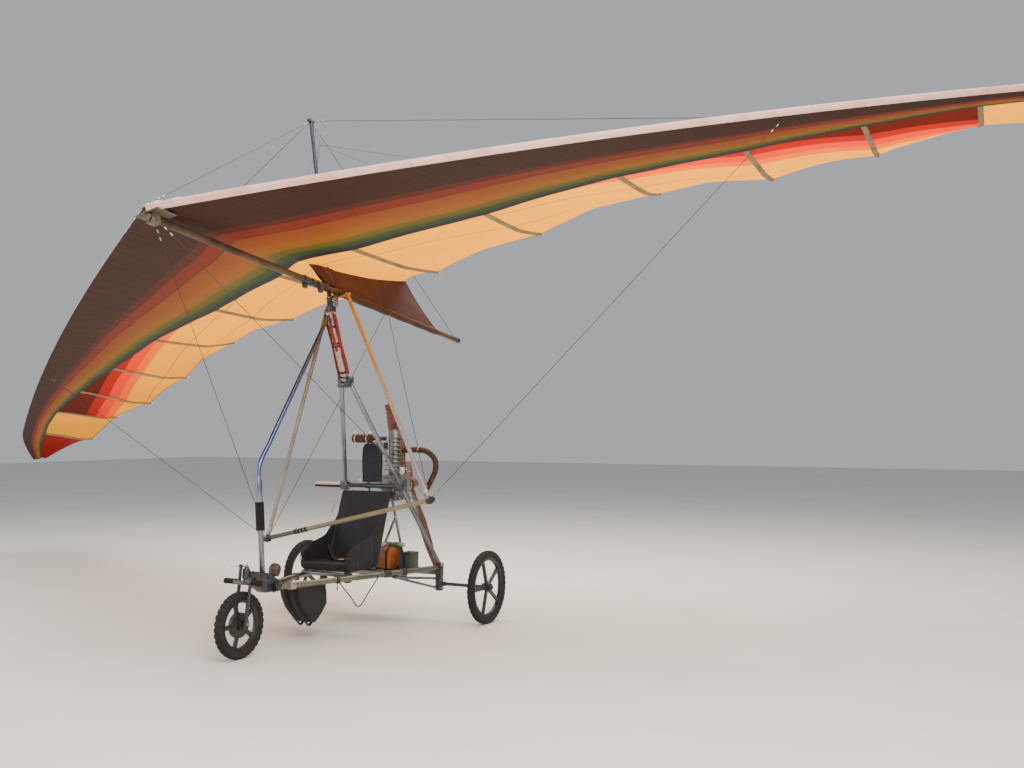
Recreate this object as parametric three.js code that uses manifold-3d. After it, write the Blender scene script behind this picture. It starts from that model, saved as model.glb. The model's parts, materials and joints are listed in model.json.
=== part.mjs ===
// Ultralight trike: a single-seat tube trike on three wheels under a flex wing, parked with its starboard wing low.
// Millimetres. x runs to port, y runs aft, z is up. Trike points are measured from where the nose wheel meets
// the ground, and wing points (a to port, b aft along the keel, c above it) from the hang point on the keel.
import * as THREE from "three";
import { mergeVertices } from "three/addons/utils/BufferGeometryUtils.js";
import Module from "manifold-3d";

const wasm = await Module();
wasm.setup();

// Driving dimensions
const GAP = 0.3;
const RUNNING_GAP = 0.5;

const NOSE_WHEEL = {
  radius: 200, width: 52, bead: 150, rimInner: 134, rimWidth: 36, hubHalf: 28, hub: 30, drum: 75,
  lugs: 32, lugHigh: 5, lugLong: 19,
};
const MAIN_WHEEL = {
  radius: 255, width: 50, bead: 206, rimInner: 188, rimWidth: 34, hubHalf: 34, hub: 27, drum: 0,
  lugs: 40, lugHigh: 3, lugLong: 22,
};
const SPOKES = 5;
const WHEELBASE = 1660;
const HALF_TRACK = 790;

const STEER_LEAN = THREE.MathUtils.degToRad(8);
const STEER = { lead: 12, drop: 250, headBelow: 26, headAbove: 84, pin: 14, head: 22 };
const FORK = { half: 42, blade: 11, crown: 24, axle: 6 };
const PEG = { inner: 62, outer: 148, radius: 17, rise: 4 };

const SIDE_TUBE = { radius: 19, noseX: 46, noseY: 262, noseZ: 392, tailX: 402, tailZ: 368 };
const CORNER = { x: 402, low: 205, top: 400, wide: 46 };
const AXLE = { radius: 12.5, pin: 9, brace: 9 };

const STRUT_FOOT = new THREE.Vector3(0, 206, 446);
const STRUT_KNEE = new THREE.Vector3(0, 158, 1080);
const MAST_FOOT = new THREE.Vector3(0, 1055, 1700);
const MAST_TOP = new THREE.Vector3(0, 866, 2165);
const STRUT = { lower: 17, upper: 14, collar: 21, collarTop: 1060, grip: 27, gripLow: 750, gripHigh: 922 };
const LEG = { radius: 16, headX: 34, footX: 396, footZ: 398 };
const MAST = { radius: 27 };

const BEAM = { y: 1390, z: 962, radius: 17, starboard: -272, port: 272, padTo: -500, pad: 19 };
const SEAT = { width: 400, wall: 18, bars: [860, 1130], barRadius: 12.5 };
const SEAT_BAR_Z = 398;
const TRAY = { front: 1470, back: 1742, x: 245, top: 350.3, thick: 4 };
const CRANK = { y: 1700, z: 945 };
const PROP = { radius: 650, y: 1905, hub: 52, turn: THREE.MathUtils.degToRad(-20) };

const HANG = { y: 898, z: 2321, pitchDrop: 104, rollDrop: 58 };
const NOSE_UP = THREE.MathUtils.degToRad(7.2);
const ROLLED = THREE.MathUtils.degToRad(13.3);
const KEEL = { nose: 1674, tail: 1760, radius: 21, tang: 680 };
const SWEEP_SLOPE = 0.5756;
const SWEEP_BEND = 1.62e-5;
const RISE_SLOPE = 0.0845;
const RISE_BEND = 5.3e-6;
const SPAR = 26;
const ROLL_HIGH = 52;
const TIP = { from: 4950, rake: 5.6e-4, droop: 3.3e-4 };
const SKIN = 5;
const SLIT = 14;
const KINGPOST = { b: -30, top: 1285, radius: 13 };
const FRAME = { topA: 74, topB: 24, topC: -46, cornerA: 626, cornerB: -144, cornerC: -1597 };
const DOWNTUBE = 13;
const BASE_BAR = 14;
const STAY = 2;

// Finishes
const finish = (color, roughness, metalness) => new THREE.MeshStandardMaterial({ color, roughness, metalness });
const ALUMINIUM = finish(0xb4b8bd, 0.35, 1);
const STEEL = finish(0x8f9399, 0.4, 1);
const ANODISED = finish(0xc79f93, 0.4, 1);
const DARK_BRACKET = finish(0x2b3340, 0.5, 0.6);
const BLACK_PLASTIC = finish(0x17181a, 0.45, 0);
const TYRE_RUBBER = finish(0x1b1b1c, 0.85, 0);
const FOAM = finish(0x141416, 0.95, 0);
const SEAT_CLOTH = finish(0x1d2230, 0.9, 0);
const BAG_CLOTH = finish(0x121317, 0.9, 0);
const SAIL_CLOTH = finish(0xd8661c, 0.7, 0);
const POCKET_CLOTH = finish(0x6a2f1d, 0.8, 0);
const TANK_PLASTIC = finish(0xa65a22, 0.45, 0);
const BOX_PAINT = finish(0x3c4640, 0.6, 0);
const CAST_ALLOY = finish(0x9a9c9e, 0.55, 0.9);
const RUSTY_STEEL = finish(0x7a4528, 0.8, 0.5);
const WOOD = finish(0x8a5a30, 0.4, 0);
const CABLE = finish(0x101010, 0.6, 0);

// Solids from three.js geometry
const V = (x, y, z) => new THREE.Vector3(x, y, z);
const UP = V(0, 1, 0);

function solid(geometry) {
  const bare = geometry.clone();
  bare.deleteAttribute("normal");
  bare.deleteAttribute("uv");
  const merged = mergeVertices(bare, 1e-3);
  const triVerts = new Uint32Array(merged.index.array);
  const vertProperties = new Float32Array(merged.attributes.position.array);
  const made = new wasm.Manifold(new wasm.Mesh({ numProp: 3, vertProperties, triVerts }));
  if (made.volume() > 0) return made;
  return new wasm.Manifold(new wasm.Mesh({ numProp: 3, vertProperties, triVerts: triVerts.reverse() }));
}

function geometryOf(manifold) {
  const mesh = manifold.getMesh();
  const geometry = new THREE.BufferGeometry();
  geometry.setAttribute("position", new THREE.BufferAttribute(mesh.vertProperties, 3));
  geometry.setIndex(new THREE.BufferAttribute(mesh.triVerts, 1));
  geometry.computeVertexNormals();
  return geometry;
}

const join = (...parts) => parts.reduce((sum, part) => sum.add(part));
const cut = (body, ...tools) => tools.reduce((rest, tool) => rest.subtract(tool), body);

// The largest piece of a rod or sheet that is left after its neighbours are cut away
function trimmed(shape, ...tools) {
  return cut(shape, ...tools).decompose().sort((p, q) => q.volume() - p.volume())[0];
}

function rod(from, to, radius, sides = 16) {
  const along = to.clone().sub(from);
  const geometry = new THREE.CylinderGeometry(radius, radius, along.length(), sides);
  geometry.applyQuaternion(new THREE.Quaternion().setFromUnitVectors(UP, along.clone().normalize()));
  const middle = from.clone().add(to).multiplyScalar(0.5);
  return solid(geometry.translate(middle.x, middle.y, middle.z));
}

// The same rod lengthened at both ends, for cutting a seat
function reach(from, to, radius, extra = 40, sides = 16) {
  const step = to.clone().sub(from).setLength(extra);
  return rod(from.clone().sub(step), to.clone().add(step), radius, sides);
}

function disc(radius, sides) {
  const corners = [];
  for (let i = 0; i < sides; i++) {
    const angle = (i / sides) * Math.PI * 2;
    corners.push(new THREE.Vector2(Math.cos(angle) * radius, Math.sin(angle) * radius));
  }
  return new THREE.Shape(corners);
}

function pipe(points, radius, steps, sides = 12) {
  const extrudePath = new THREE.CatmullRomCurve3(points, false, "centripetal");
  return solid(new THREE.ExtrudeGeometry(disc(radius, sides), { extrudePath, steps, bevelEnabled: false }));
}

function block(sizeX, sizeY, sizeZ, x, y, z) {
  return solid(new THREE.BoxGeometry(sizeX, sizeY, sizeZ).translate(x, y, z));
}

// A side profile of [y, z] points, extruded across from x0 to x1
function profileAcross(points, x0, x1) {
  const shape = new THREE.Shape(points.map(([y, z]) => new THREE.Vector2(y, z)));
  const geometry = new THREE.ExtrudeGeometry(shape, { depth: x1 - x0, bevelEnabled: false });
  geometry.applyMatrix4(new THREE.Matrix4().makeBasis(V(0, 1, 0), V(0, 0, 1), V(1, 0, 0)));
  return solid(geometry.translate(x0, 0, 0));
}

// A front outline of [x, z] points, extruded fore and aft from y0 to y1
function profileAlong(points, y0, y1) {
  const shape = new THREE.Shape(points.map(([x, z]) => new THREE.Vector2(x, z)));
  const geometry = new THREE.ExtrudeGeometry(shape, { depth: y1 - y0, bevelEnabled: false });
  geometry.applyMatrix4(new THREE.Matrix4().makeBasis(V(1, 0, 0), V(0, 0, 1), V(0, -1, 0)));
  return solid(geometry.translate(0, y1, 0));
}

// A profile of [radius, x] points turned about the x axis
function turnedAcross(points, sides = 40) {
  const profile = points.map(([radius, x]) => new THREE.Vector2(radius, x));
  return solid(new THREE.LatheGeometry(profile, sides).rotateZ(-Math.PI / 2));
}

// Rings of equally many points, joined in order and closed at both ends. Each quad is split the same way across,
// whichever way its ring runs, so that the two faces of a thin twisted skin stay apart.
function loft(rings) {
  const count = rings[0].length;
  const positions = rings.flat().flatMap((p) => [p.x, p.y, p.z]);
  const runsAft = rings[0].map((p, i) => rings[0][(i + 1) % count].y > p.y);
  const index = [];
  for (let r = 0; r + 1 < rings.length; r++) {
    for (let i = 0; i < count; i++) {
      const a = r * count + i;
      const b = r * count + ((i + 1) % count);
      if (runsAft[i]) index.push(a, b, b + count, a, b + count, a + count);
      else index.push(a, b, a + count, b, b + count, a + count);
    }
  }
  const outline = rings[0].map((p) => new THREE.Vector2(p.y, p.z));
  const lid = THREE.ShapeUtils.triangulateShape(outline, []);
  const lidTurns = THREE.ShapeUtils.area(lid[0].map((i) => outline[i])) > 0;
  if (lidTurns !== THREE.ShapeUtils.area(outline) > 0) lid.forEach((triangle) => triangle.reverse());
  const last = (rings.length - 1) * count;
  for (const [a, b, c] of lid) {
    index.push(c, b, a);
    index.push(last + a, last + b, last + c);
  }
  const geometry = new THREE.BufferGeometry();
  geometry.setAttribute("position", new THREE.Float32BufferAttribute(positions, 3));
  geometry.setIndex(index);
  return solid(geometry);
}

// A loft whose end rings are flat in z
function ringLoft(rings) {
  const turned = rings.map((ring) => ring.map((p) => V(p.z, p.x, p.y)));
  return solid(geometryOf(loft(turned)).applyMatrix4(new THREE.Matrix4().makeBasis(V(0, 0, 1), V(1, 0, 0), V(0, 1, 0))));
}

function add(parent, name, shape, material) {
  const mesh = new THREE.Mesh(geometryOf(shape), material);
  mesh.name = name;
  parent.add(mesh);
  return mesh;
}

const lerp = (from, to, share) => from.clone().lerp(to, share);
const atHeight = (from, to, z) => lerp(from, to, (z - from.z) / (to.z - from.z));

// Groups: the trike, its steered fork and wheels, and the wing on its hang block
const trike = new THREE.Group();
const fork = new THREE.Group();
const hang = new THREE.Group();
const wing = new THREE.Group();

// Where the steering axis meets the fork crown, so that the wheel's hub is over its contact point
const steerAxis = V(0, Math.sin(STEER_LEAN), Math.cos(STEER_LEAN));
const hubFromCrown = V(0, -STEER.lead, -STEER.drop).applyAxisAngle(V(1, 0, 0), -STEER_LEAN);
const crownPoint = V(0, 0, NOSE_WHEEL.radius).sub(hubFromCrown);
fork.position.copy(crownPoint);
fork.rotation.x = -STEER_LEAN;
trike.add(fork);

// Wheels
function tyre(size) {
  const shoulder = size.width / 2;
  const crown = size.radius - size.lugHigh;
  const depth = crown - size.bead;
  let body = turnedAcross([
    [size.bead, -shoulder * 0.62],
    [size.bead + depth * 0.45, -shoulder * 0.96],
    [crown - depth * 0.24, -shoulder],
    [crown, -shoulder * 0.55],
    [crown, shoulder * 0.55],
    [crown - depth * 0.24, shoulder],
    [size.bead + depth * 0.45, shoulder * 0.96],
    [size.bead, shoulder * 0.62],
    [size.bead, -shoulder * 0.62],
  ], 48);
  // lugs stand on the crown, by turns to port and to starboard of its middle
  const lugDeep = size.lugHigh + 4;
  const lugTop = Math.sqrt(size.radius ** 2 - (size.lugLong / 2) ** 2);
  for (let i = 0; i < size.lugs; i++) {
    const lug = new THREE.BoxGeometry(size.width * 0.46, size.lugLong, lugDeep);
    lug.translate((i % 2 ? 1 : -1) * size.width * 0.17, 0, lugTop - lugDeep / 2);
    body = join(body, solid(lug.rotateX((i / size.lugs) * Math.PI * 2)));
  }
  return body;
}

function rim(size, bore) {
  const half = size.rimWidth / 2;
  const outer = size.bead - GAP;
  const hoop = turnedAcross([
    [size.rimInner, -half * 0.6],
    [outer, -half],
    [outer, half],
    [size.rimInner, half * 0.6],
    [size.rimInner, -half * 0.6],
  ], 48);
  let body = join(hoop, rod(V(-size.hubHalf, 0, 0), V(size.hubHalf, 0, 0), size.hub, 24));
  if (size.drum) body = join(body, rod(V(-22, 0, 0), V(10, 0, 0), size.drum, 32));
  for (let i = 0; i < SPOKES; i++) {
    const angle = (i / SPOKES) * Math.PI * 2 + Math.PI / 2;
    const length = size.rimInner + 6 - size.hub * 0.5;
    const spoke = new THREE.BoxGeometry(15, 26, length).translate(0, 0, size.hub * 0.5 + length / 2);
    body = join(body, solid(spoke.rotateX(angle)));
  }
  return cut(body, rod(V(-90, 0, 0), V(90, 0, 0), bore + RUNNING_GAP, 20));
}

const wheels = [
  ["front", NOSE_WHEEL, fork, V(0, -STEER.lead, -STEER.drop), FORK.axle],
  ["rear_port", MAIN_WHEEL, trike, V(HALF_TRACK, WHEELBASE, MAIN_WHEEL.radius), AXLE.pin],
  ["rear_starboard", MAIN_WHEEL, trike, V(-HALF_TRACK, WHEELBASE, MAIN_WHEEL.radius), AXLE.pin],
];
for (const [name, size, carrier, hub, bore] of wheels) {
  const wheel = new THREE.Group();
  wheel.position.copy(hub);
  wheel.rotation.x = -carrier.rotation.x;
  add(wheel, name + "_tyre", tyre(size), TYRE_RUBBER);
  add(wheel, name + "_rim", rim(size, bore), BLACK_PLASTIC);
  carrier.add(wheel);
}

// Fork, in its own frame: the steering axis is z and the crown is at the origin
const axleY = -STEER.lead;
const axleZ = -STEER.drop;
let forkBody = join(
  block(FORK.half * 2 + 26, 66, FORK.crown, 0, -11, 0),
  rod(V(0, 0, 0), V(0, 0, STEER.headAbove + 14), STEER.pin, 20),
  rod(V(-FORK.half - 24, axleY, axleZ), V(FORK.half + 24, axleY, axleZ), FORK.axle, 16),
  rod(V(-PEG.outer, -6, PEG.rise), V(PEG.outer, -6, PEG.rise), 8, 12),
);
for (const side of [-1, 1]) {
  const top = V(side * FORK.half, 0, 6);
  const foot = V(side * FORK.half, axleY, axleZ - 16);
  forkBody = join(forkBody, rod(top, foot, FORK.blade, 14));
  const peg = rod(V(side * PEG.inner, -6, PEG.rise), V(side * PEG.outer, -6, PEG.rise), PEG.radius, 16);
  const seat = rod(V(-PEG.outer - 20, -6, PEG.rise), V(PEG.outer + 20, -6, PEG.rise), 8 + GAP, 12);
  add(fork, side > 0 ? "foot_peg_port" : "foot_peg_starboard", cut(peg, seat), FOAM);
}
add(fork, "fork", forkBody, DARK_BRACKET);
add(fork, "brake_pedal", join(
  block(14, 12, 96, -14, -36, FORK.crown / 2 + GAP + 48),
  rod(V(-90, -36, 98), V(6, -36, 98), 5, 10),
), BLACK_PLASTIC);

// Base triangle
const noseEnd = (side) => V(side * SIDE_TUBE.noseX, SIDE_TUBE.noseY, SIDE_TUBE.noseZ);
const tailEnd = (side) => V(side * SIDE_TUBE.tailX, WHEELBASE, SIDE_TUBE.tailZ);
const legHead = (side) => V(side * LEG.headX, MAST_FOOT.y, MAST_FOOT.z);
const legFoot = (side) => V(side * LEG.footX, WHEELBASE, LEG.footZ);

const onSideTube = (side, y) => lerp(noseEnd(side), tailEnd(side), (y - SIDE_TUBE.noseY) / (WHEELBASE - SIDE_TUBE.noseY));
const sideTubeSpan = (side, radius, fromY, toY) => rod(onSideTube(side, fromY), onSideTube(side, toY), radius, 20);

// A clip on the port side tube that holds an end of the hanging cable
function cableClip(y) {
  const centre = onSideTube(1, y);
  return block(26, 14, 10, centre.x + 28, y, centre.z + 8);
}

for (const side of [-1, 1]) {
  const word = side > 0 ? "port" : "starboard";
  let tube = sideTubeSpan(side, SIDE_TUBE.radius, SIDE_TUBE.noseY, WHEELBASE - 4);
  if (side > 0) tube = join(tube, ...[730, 1050].map(cableClip));
  add(trike, "side_tube_" + word, tube, ALUMINIUM);
}

// Nose bracket: the steering head, a pair of cheeks for the side tubes and a post for the front strut
const headLow = crownPoint.clone().addScaledVector(steerAxis, STEER.headBelow);
const headHigh = crownPoint.clone().addScaledVector(steerAxis, STEER.headAbove);
let noseBracket = join(
  rod(headLow, headHigh, STEER.head, 24),
  profileAcross([[64, 480], [64, 516], [226, 484], [330, 424], [330, 366], [200, 366], [116, 420], [110, 468]], -34, 34),
  block(142, 62, 46, 0, 294, 392),
);
noseBracket = cut(
  noseBracket,
  rod(crownPoint, headHigh.clone().addScaledVector(steerAxis, 60), STEER.pin + RUNNING_GAP, 24),
  sideTubeSpan(-1, SIDE_TUBE.radius + GAP, SIDE_TUBE.noseY - GAP, 900),
  sideTubeSpan(1, SIDE_TUBE.radius + GAP, SIDE_TUBE.noseY - GAP, 900),
);

// Front strut: a stout lower tube, a collar, and a thinner tube bent back to the mast head
const strutTop = lerp(MAST_FOOT, MAST_TOP, 0.9).add(V(0, -MAST.radius - 4, 12));
const bendStart = V(0, 158, 1090);
const bendEnd = V(0, 290, 1330);
const gripLow = atHeight(STRUT_FOOT, STRUT_KNEE, STRUT.gripLow);
const gripHigh = atHeight(STRUT_FOOT, STRUT_KNEE, STRUT.gripHigh);
const collarTop = atHeight(STRUT_FOOT, STRUT_KNEE, STRUT.collarTop);
const bend = new THREE.CubicBezierCurve3(
  bendStart.clone().setZ(bendStart.z - 4), V(0, 151, 1180), V(0, 230, 1226), lerp(bendEnd, strutTop, 0.004),
);
const bendPipe = new THREE.ExtrudeGeometry(disc(STRUT.upper, 14), { extrudePath: bend, steps: 9, bevelEnabled: false });
const frontStrut = join(
  rod(STRUT_FOOT, atHeight(STRUT_FOOT, STRUT_KNEE, STRUT.collarTop - 20), STRUT.lower, 18),
  rod(gripHigh.clone().add(V(0, 0, 1)), collarTop, STRUT.collar, 18),
  rod(lerp(STRUT_FOOT, STRUT_KNEE, 0.95), bendStart, STRUT.upper, 14),
  solid(bendPipe),
  rod(bendEnd, strutTop, STRUT.upper, 14),
);
add(trike, "front_strut", frontStrut, ALUMINIUM);
const strutSeat = reach(STRUT_FOOT, lerp(STRUT_FOOT, STRUT_KNEE, 0.5), STRUT.lower + GAP, GAP, 18);
add(trike, "nose_bracket", cut(noseBracket, strutSeat), DARK_BRACKET);
add(trike, "strut_grip", cut(rod(gripLow, gripHigh, STRUT.grip, 20), reach(gripLow, gripHigh, STRUT.lower + GAP, 40, 18)), FOAM);

// Mast legs, mast head and the plates that join them
const mastDirection = MAST_TOP.clone().sub(MAST_FOOT).normalize();
for (const side of [-1, 1]) {
  const word = side > 0 ? "port" : "starboard";
  add(trike, "mast_leg_" + word, rod(legHead(side), legFoot(side), LEG.radius, 18), ALUMINIUM);
}
let mastHead = join(
  rod(MAST_FOOT, MAST_TOP, MAST.radius, 24),
  block(106, 54, 76, 0, MAST_FOOT.y + 4, MAST_FOOT.z - 6),
  block(40, 96, 30, 0, strutTop.y + 26, strutTop.z - 18),
);
const pitchBolt = V(0, HANG.y, HANG.z - HANG.pitchDrop);
mastHead = join(mastHead, block(44, 50, 76, 0, pitchBolt.y - 6, pitchBolt.z - 14));
mastHead = cut(
  mastHead,
  reach(legHead(-1), legFoot(-1), LEG.radius + GAP, GAP, 18),
  reach(legHead(1), legFoot(1), LEG.radius + GAP, GAP, 18),
  rod(bendEnd, lerp(bendEnd, strutTop, 1.0005), STRUT.upper + GAP, 14),
  rod(V(-80, pitchBolt.y, pitchBolt.z), V(80, pitchBolt.y, pitchBolt.z), 8 + RUNNING_GAP, 16),
);
add(trike, "mast_head", mastHead, ANODISED);

// Rear corners: a post between side tube and axle, the stub axle and two braces
for (const side of [-1, 1]) {
  const word = side > 0 ? "port" : "starboard";
  const hub = V(side * HALF_TRACK, WHEELBASE, MAIN_WHEEL.radius);
  const braceRoot = lerp(noseEnd(side), tailEnd(side), 0.7).add(V(0, 0, -SIDE_TUBE.radius - 12));
  let corner = join(
    block(CORNER.wide, CORNER.wide, CORNER.top - CORNER.low, side * CORNER.x, WHEELBASE, (CORNER.top + CORNER.low) / 2),
    rod(V(side * CORNER.x, WHEELBASE, hub.z), V(side * (HALF_TRACK - MAIN_WHEEL.hubHalf - 3), WHEELBASE, hub.z), AXLE.radius, 18),
    rod(hub.clone().add(V(-side * 60, 0, 0)), hub.clone().add(V(side * 46, 0, 0)), AXLE.pin, 16),
    rod(hub.clone().add(V(side * 36, 0, 0)), hub.clone().add(V(side * 48, 0, 0)), 15, 6),
    rod(braceRoot, V(side * CORNER.x, WHEELBASE - 10, 222), AXLE.brace, 12),
    rod(braceRoot, V(side * CORNER.x, WHEELBASE - 10, 292), AXLE.brace, 12),
    block(34, 44, 20, braceRoot.x, braceRoot.y, braceRoot.z + 8),
  );
  corner = cut(
    corner,
    sideTubeSpan(side, SIDE_TUBE.radius + GAP, SIDE_TUBE.noseY, WHEELBASE - 4 + GAP),
    rod(legHead(side), lerp(legHead(side), legFoot(side), 1.0004), LEG.radius + GAP, 18),
  );
  add(trike, "rear_corner_" + word, corner, DARK_BRACKET);
}

// Cross tubes between the corners and under the seat
const tubeInner = CORNER.x - CORNER.wide / 2 - GAP;
add(trike, "rear_cross_tube", rod(V(-tubeInner, WHEELBASE, 330), V(tubeInner, WHEELBASE, 330), 16, 18), ALUMINIUM);
SEAT.bars.forEach((y, i) => {
  const { x } = onSideTube(1, y);
  const bar = rod(V(-x - 4, y, SEAT_BAR_Z), V(x + 4, y, SEAT_BAR_Z), SEAT.barRadius, 16);
  const cuts = [-1, 1].map((side) => sideTubeSpan(side, SIDE_TUBE.radius + GAP, y - 300, y + 300));
  add(trike, i ? "seat_bar_rear" : "seat_bar_front", trimmed(bar, ...cuts), ALUMINIUM);
});

// Seat: a bucket of padded cloth on the two bars, its back leaning up to the beam
const seatFloor = SEAT_BAR_Z + SEAT.barRadius + GAP;
let seatBody = profileAcross([
  [806, seatFloor + 64], [822, seatFloor + 20], [860, seatFloor], [1140, seatFloor], [1190, seatFloor + 16],
  [1352, 925], [1302, 938], [1128, seatFloor + 78], [1080, seatFloor + 54], [890, seatFloor + 52],
  [830, seatFloor + 70],
], -SEAT.width / 2, SEAT.width / 2);
for (const side of [-1, 1]) {
  const edges = [side * (SEAT.width / 2 - SEAT.wall), side * SEAT.width / 2].sort((p, q) => p - q);
  seatBody = join(seatBody, profileAcross([
    [824, seatFloor + 30], [812, 486], [832, 548], [900, 586], [1090, 636], [1236, 756], [1304, 934], [1340, 926],
    [1180, seatFloor + 24], [860, seatFloor + 8],
  ], ...edges));
}
add(trike, "seat", seatBody, SEAT_CLOTH);

// Engine beam with its padded stub, and the headrest that stands on it
let beam = rod(V(BEAM.starboard, BEAM.y, BEAM.z), V(BEAM.port, BEAM.y, BEAM.z), BEAM.radius, 18);
for (const side of [-1, 1]) {
  const centre = atHeight(legHead(side), legFoot(side), BEAM.z);
  beam = join(beam, block(58, 52, 60, centre.x, centre.y, centre.z));
}
const legHoles = [-1, 1].map((side) => rod(legHead(side), legFoot(side), LEG.radius + GAP, 18));
add(trike, "engine_beam", trimmed(beam, ...legHoles), ALUMINIUM);
add(trike, "beam_pad", rod(V(BEAM.starboard - GAP, BEAM.y, BEAM.z), V(BEAM.padTo, BEAM.y, BEAM.z), BEAM.pad, 20), FOAM);
const headrestFoot = BEAM.z + BEAM.radius + GAP;
add(trike, "headrest", profileAlong([
  [-75, 0], [75, 0], [75, 236], [66, 270], [40, 294], [-40, 294], [-66, 270], [-75, 236],
].map(([x, up]) => [x, headrestFoot + up]), BEAM.y - 37, BEAM.y + 37), SEAT_CLOTH);

// Tray behind the seat, with the tank and a box
const traySize = TRAY.back - TRAY.front;
const trayMiddle = (TRAY.back + TRAY.front) / 2;
const strutLine = (side) => [V(side * 60, 1560, CRANK.z - 98), V(side * 115, WHEELBASE, 336)];
const strutHoles = [-1, 1].map((side) => reach(...strutLine(side), 10 + GAP, GAP, 12));
add(trike, "tank_tray", cut(join(
  block(TRAY.x * 2, traySize, TRAY.thick, 0, trayMiddle, TRAY.top - TRAY.thick / 2),
  block(TRAY.x * 2, 4, 40, 0, TRAY.front + 2, TRAY.top - 20),
  block(TRAY.x * 2, 4, 40, 0, TRAY.back - 2, TRAY.top - 20),
), ...strutHoles), ALUMINIUM);
add(trike, "fuel_tank", join(
  profileAcross([
    [1494, 12], [1506, 0], [1654, 0], [1666, 12], [1666, 128], [1640, 154], [1520, 154], [1494, 128],
  ].map(([y, up]) => [y, TRAY.top + GAP + up]), -82, 82),
  rod(V(0, 1560, TRAY.top + 150), V(0, 1560, TRAY.top + 178), 24, 20),
), TANK_PLASTIC);
add(trike, "battery_box", block(92, 130, 122, 178, 1600, TRAY.top + GAP + 61), BOX_PAINT);

// Engine on its mount behind the beam
add(trike, "engine_mount", join(
  block(180, 398, 12, 0, BEAM.y + BEAM.radius + GAP + 199, CRANK.z - 96),
  block(30, 26, 136, -60, BEAM.y + BEAM.radius + GAP + 13, CRANK.z - 34),
  block(30, 26, 136, 60, BEAM.y + BEAM.radius + GAP + 13, CRANK.z - 34),
  ...[-1, 1].map((side) => cut(
    rod(...strutLine(side), 10, 12),
    rod(V(side * 115 - 40, WHEELBASE, 330), V(side * 115 + 40, WHEELBASE, 330), 16 + GAP, 18),
  )),
), ALUMINIUM);
add(trike, "engine_case", join(
  block(150, 190, 170, 0, CRANK.y - 20, CRANK.z - 4.7),
  rod(V(0, CRANK.y + 60, CRANK.z), V(0, CRANK.y + 130, CRANK.z), 62, 24),
  rod(V(0, CRANK.y + 60, CRANK.z), V(0, PROP.y - 30 - GAP, CRANK.z), 20, 20),
  rod(V(0, CRANK.y - 140, CRANK.z), V(0, CRANK.y - 100, CRANK.z), 66, 24),
  ...[-75, -45, -15, 15, 45].map((y) => block(166, 6, 140, 0, CRANK.y - 20 + y, CRANK.z - 12)),
), CAST_ALLOY);
let cylinder = rod(V(0, CRANK.y - 20, CRANK.z + 80.6), V(0, CRANK.y - 20, CRANK.z + 400), 44, 24);
for (let i = 0; i < 9; i++) {
  const z = CRANK.z + 120 + i * 30;
  cylinder = join(cylinder, rod(V(0, CRANK.y - 20, z), V(0, CRANK.y - 20, z + 5), i < 6 ? 78 : 70, 24));
}
cylinder = join(
  cylinder,
  rod(V(0, CRANK.y - 20, CRANK.z + 396), V(0, CRANK.y - 20, CRANK.z + 412), 34, 16),
  rod(V(0, CRANK.y - 20, CRANK.z + 400), V(0, CRANK.y - 20, CRANK.z + 446), 8, 10),
);
add(trike, "engine_cylinder", cylinder, CAST_ALLOY);
const finSpace = rod(V(0, CRANK.y - 20, CRANK.z + 80), V(0, CRANK.y - 20, CRANK.z + 402), 78 + GAP, 24);
const headSpace = rod(V(0, CRANK.y - 20, CRANK.z + 290), V(0, CRANK.y - 20, CRANK.z + 402), 70 + GAP, 24);
add(trike, "exhaust", trimmed(pipe([
  V(56, 1680, 1206), V(150, 1690, 1214), V(240, 1720, 1208), V(296, 1760, 1150), V(290, 1790, 1070),
  V(250, 1790, 985), V(200, 1790, 900),
], 21, 26, 12), finSpace), RUSTY_STEEL);
add(trike, "intake_silencer", join(
  rod(V(-190, 1655, 1296), V(-350, 1655, 1296), 32, 20),
  trimmed(rod(V(-30, 1670, 1296), V(-192, 1655, 1296), 15, 14), headSpace),
), RUSTY_STEEL);

// Bag slung under the frame behind the nose
add(trike, "stowage_bag", profileAcross([
  [448, 369.4], [468, 290], [508, 218], [574, 150], [622, 102], [668, 126], [712, 160], [770, 224], [765, 300],
  [752, 364],
], -90, 90), BAG_CLOTH);

// A loose loop of cable between two clips on the port side tube
const CABLE_RADIUS = 4;
const CABLE_ROUTE = [
  [730, 32, 2.6], [730, 32, -8], [741, 32, -26], [762, 31, -50], [788, 30, -78], [816, 31, -108], [840, 32, -138],
  [858, 32, -166], [878, 32, -184], [900, 32, -184], [921, 32, -168], [946, 31, -138], [975, 30, -104],
  [1006, 30, -68], [1034, 31, -36], [1050, 32, -14], [1050, 32, 2.6],
];
const cablePath = CABLE_ROUTE.map(([y, out, up]) => onSideTube(1, y).add(V(out, 0, up)));
add(trike, "hanging_cable", pipe(cablePath, CABLE_RADIUS, 44, 8), CABLE);

// Propeller
const prop = new THREE.Group();
prop.position.set(0, PROP.y, CRANK.z);
prop.rotation.y = PROP.turn;
trike.add(prop);
let propBody = rod(V(0, -30, 0), V(0, 34, 0), PROP.hub, 24);
for (const side of [-1, 1]) {
  // columns: distance from the axis, chord, thickness, pitch angle in degrees
  const stations = [
    [20, 60, 44, 50], [120, 92, 26, 34], [300, 108, 16, 20], [480, 88, 10, 13], [PROP.radius, 40, 6, 10],
  ];
  const rings = stations.map(([span, chord, thick, pitch]) => {
    const turn = THREE.MathUtils.degToRad(pitch) * side;
    const corners = [[-0.5, 0], [-0.2, 0.5], [0.15, 0.45], [0.5, 0], [0.15, -0.3], [-0.2, -0.4]];
    return corners.map(([u, w]) => {
      const flat = V(u * chord, w * thick, 0);
      flat.applyAxisAngle(V(0, 0, 1), turn);
      return V(flat.x, flat.y, side * span);
    });
  });
  propBody = join(propBody, ringLoft(rings));
}
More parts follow.
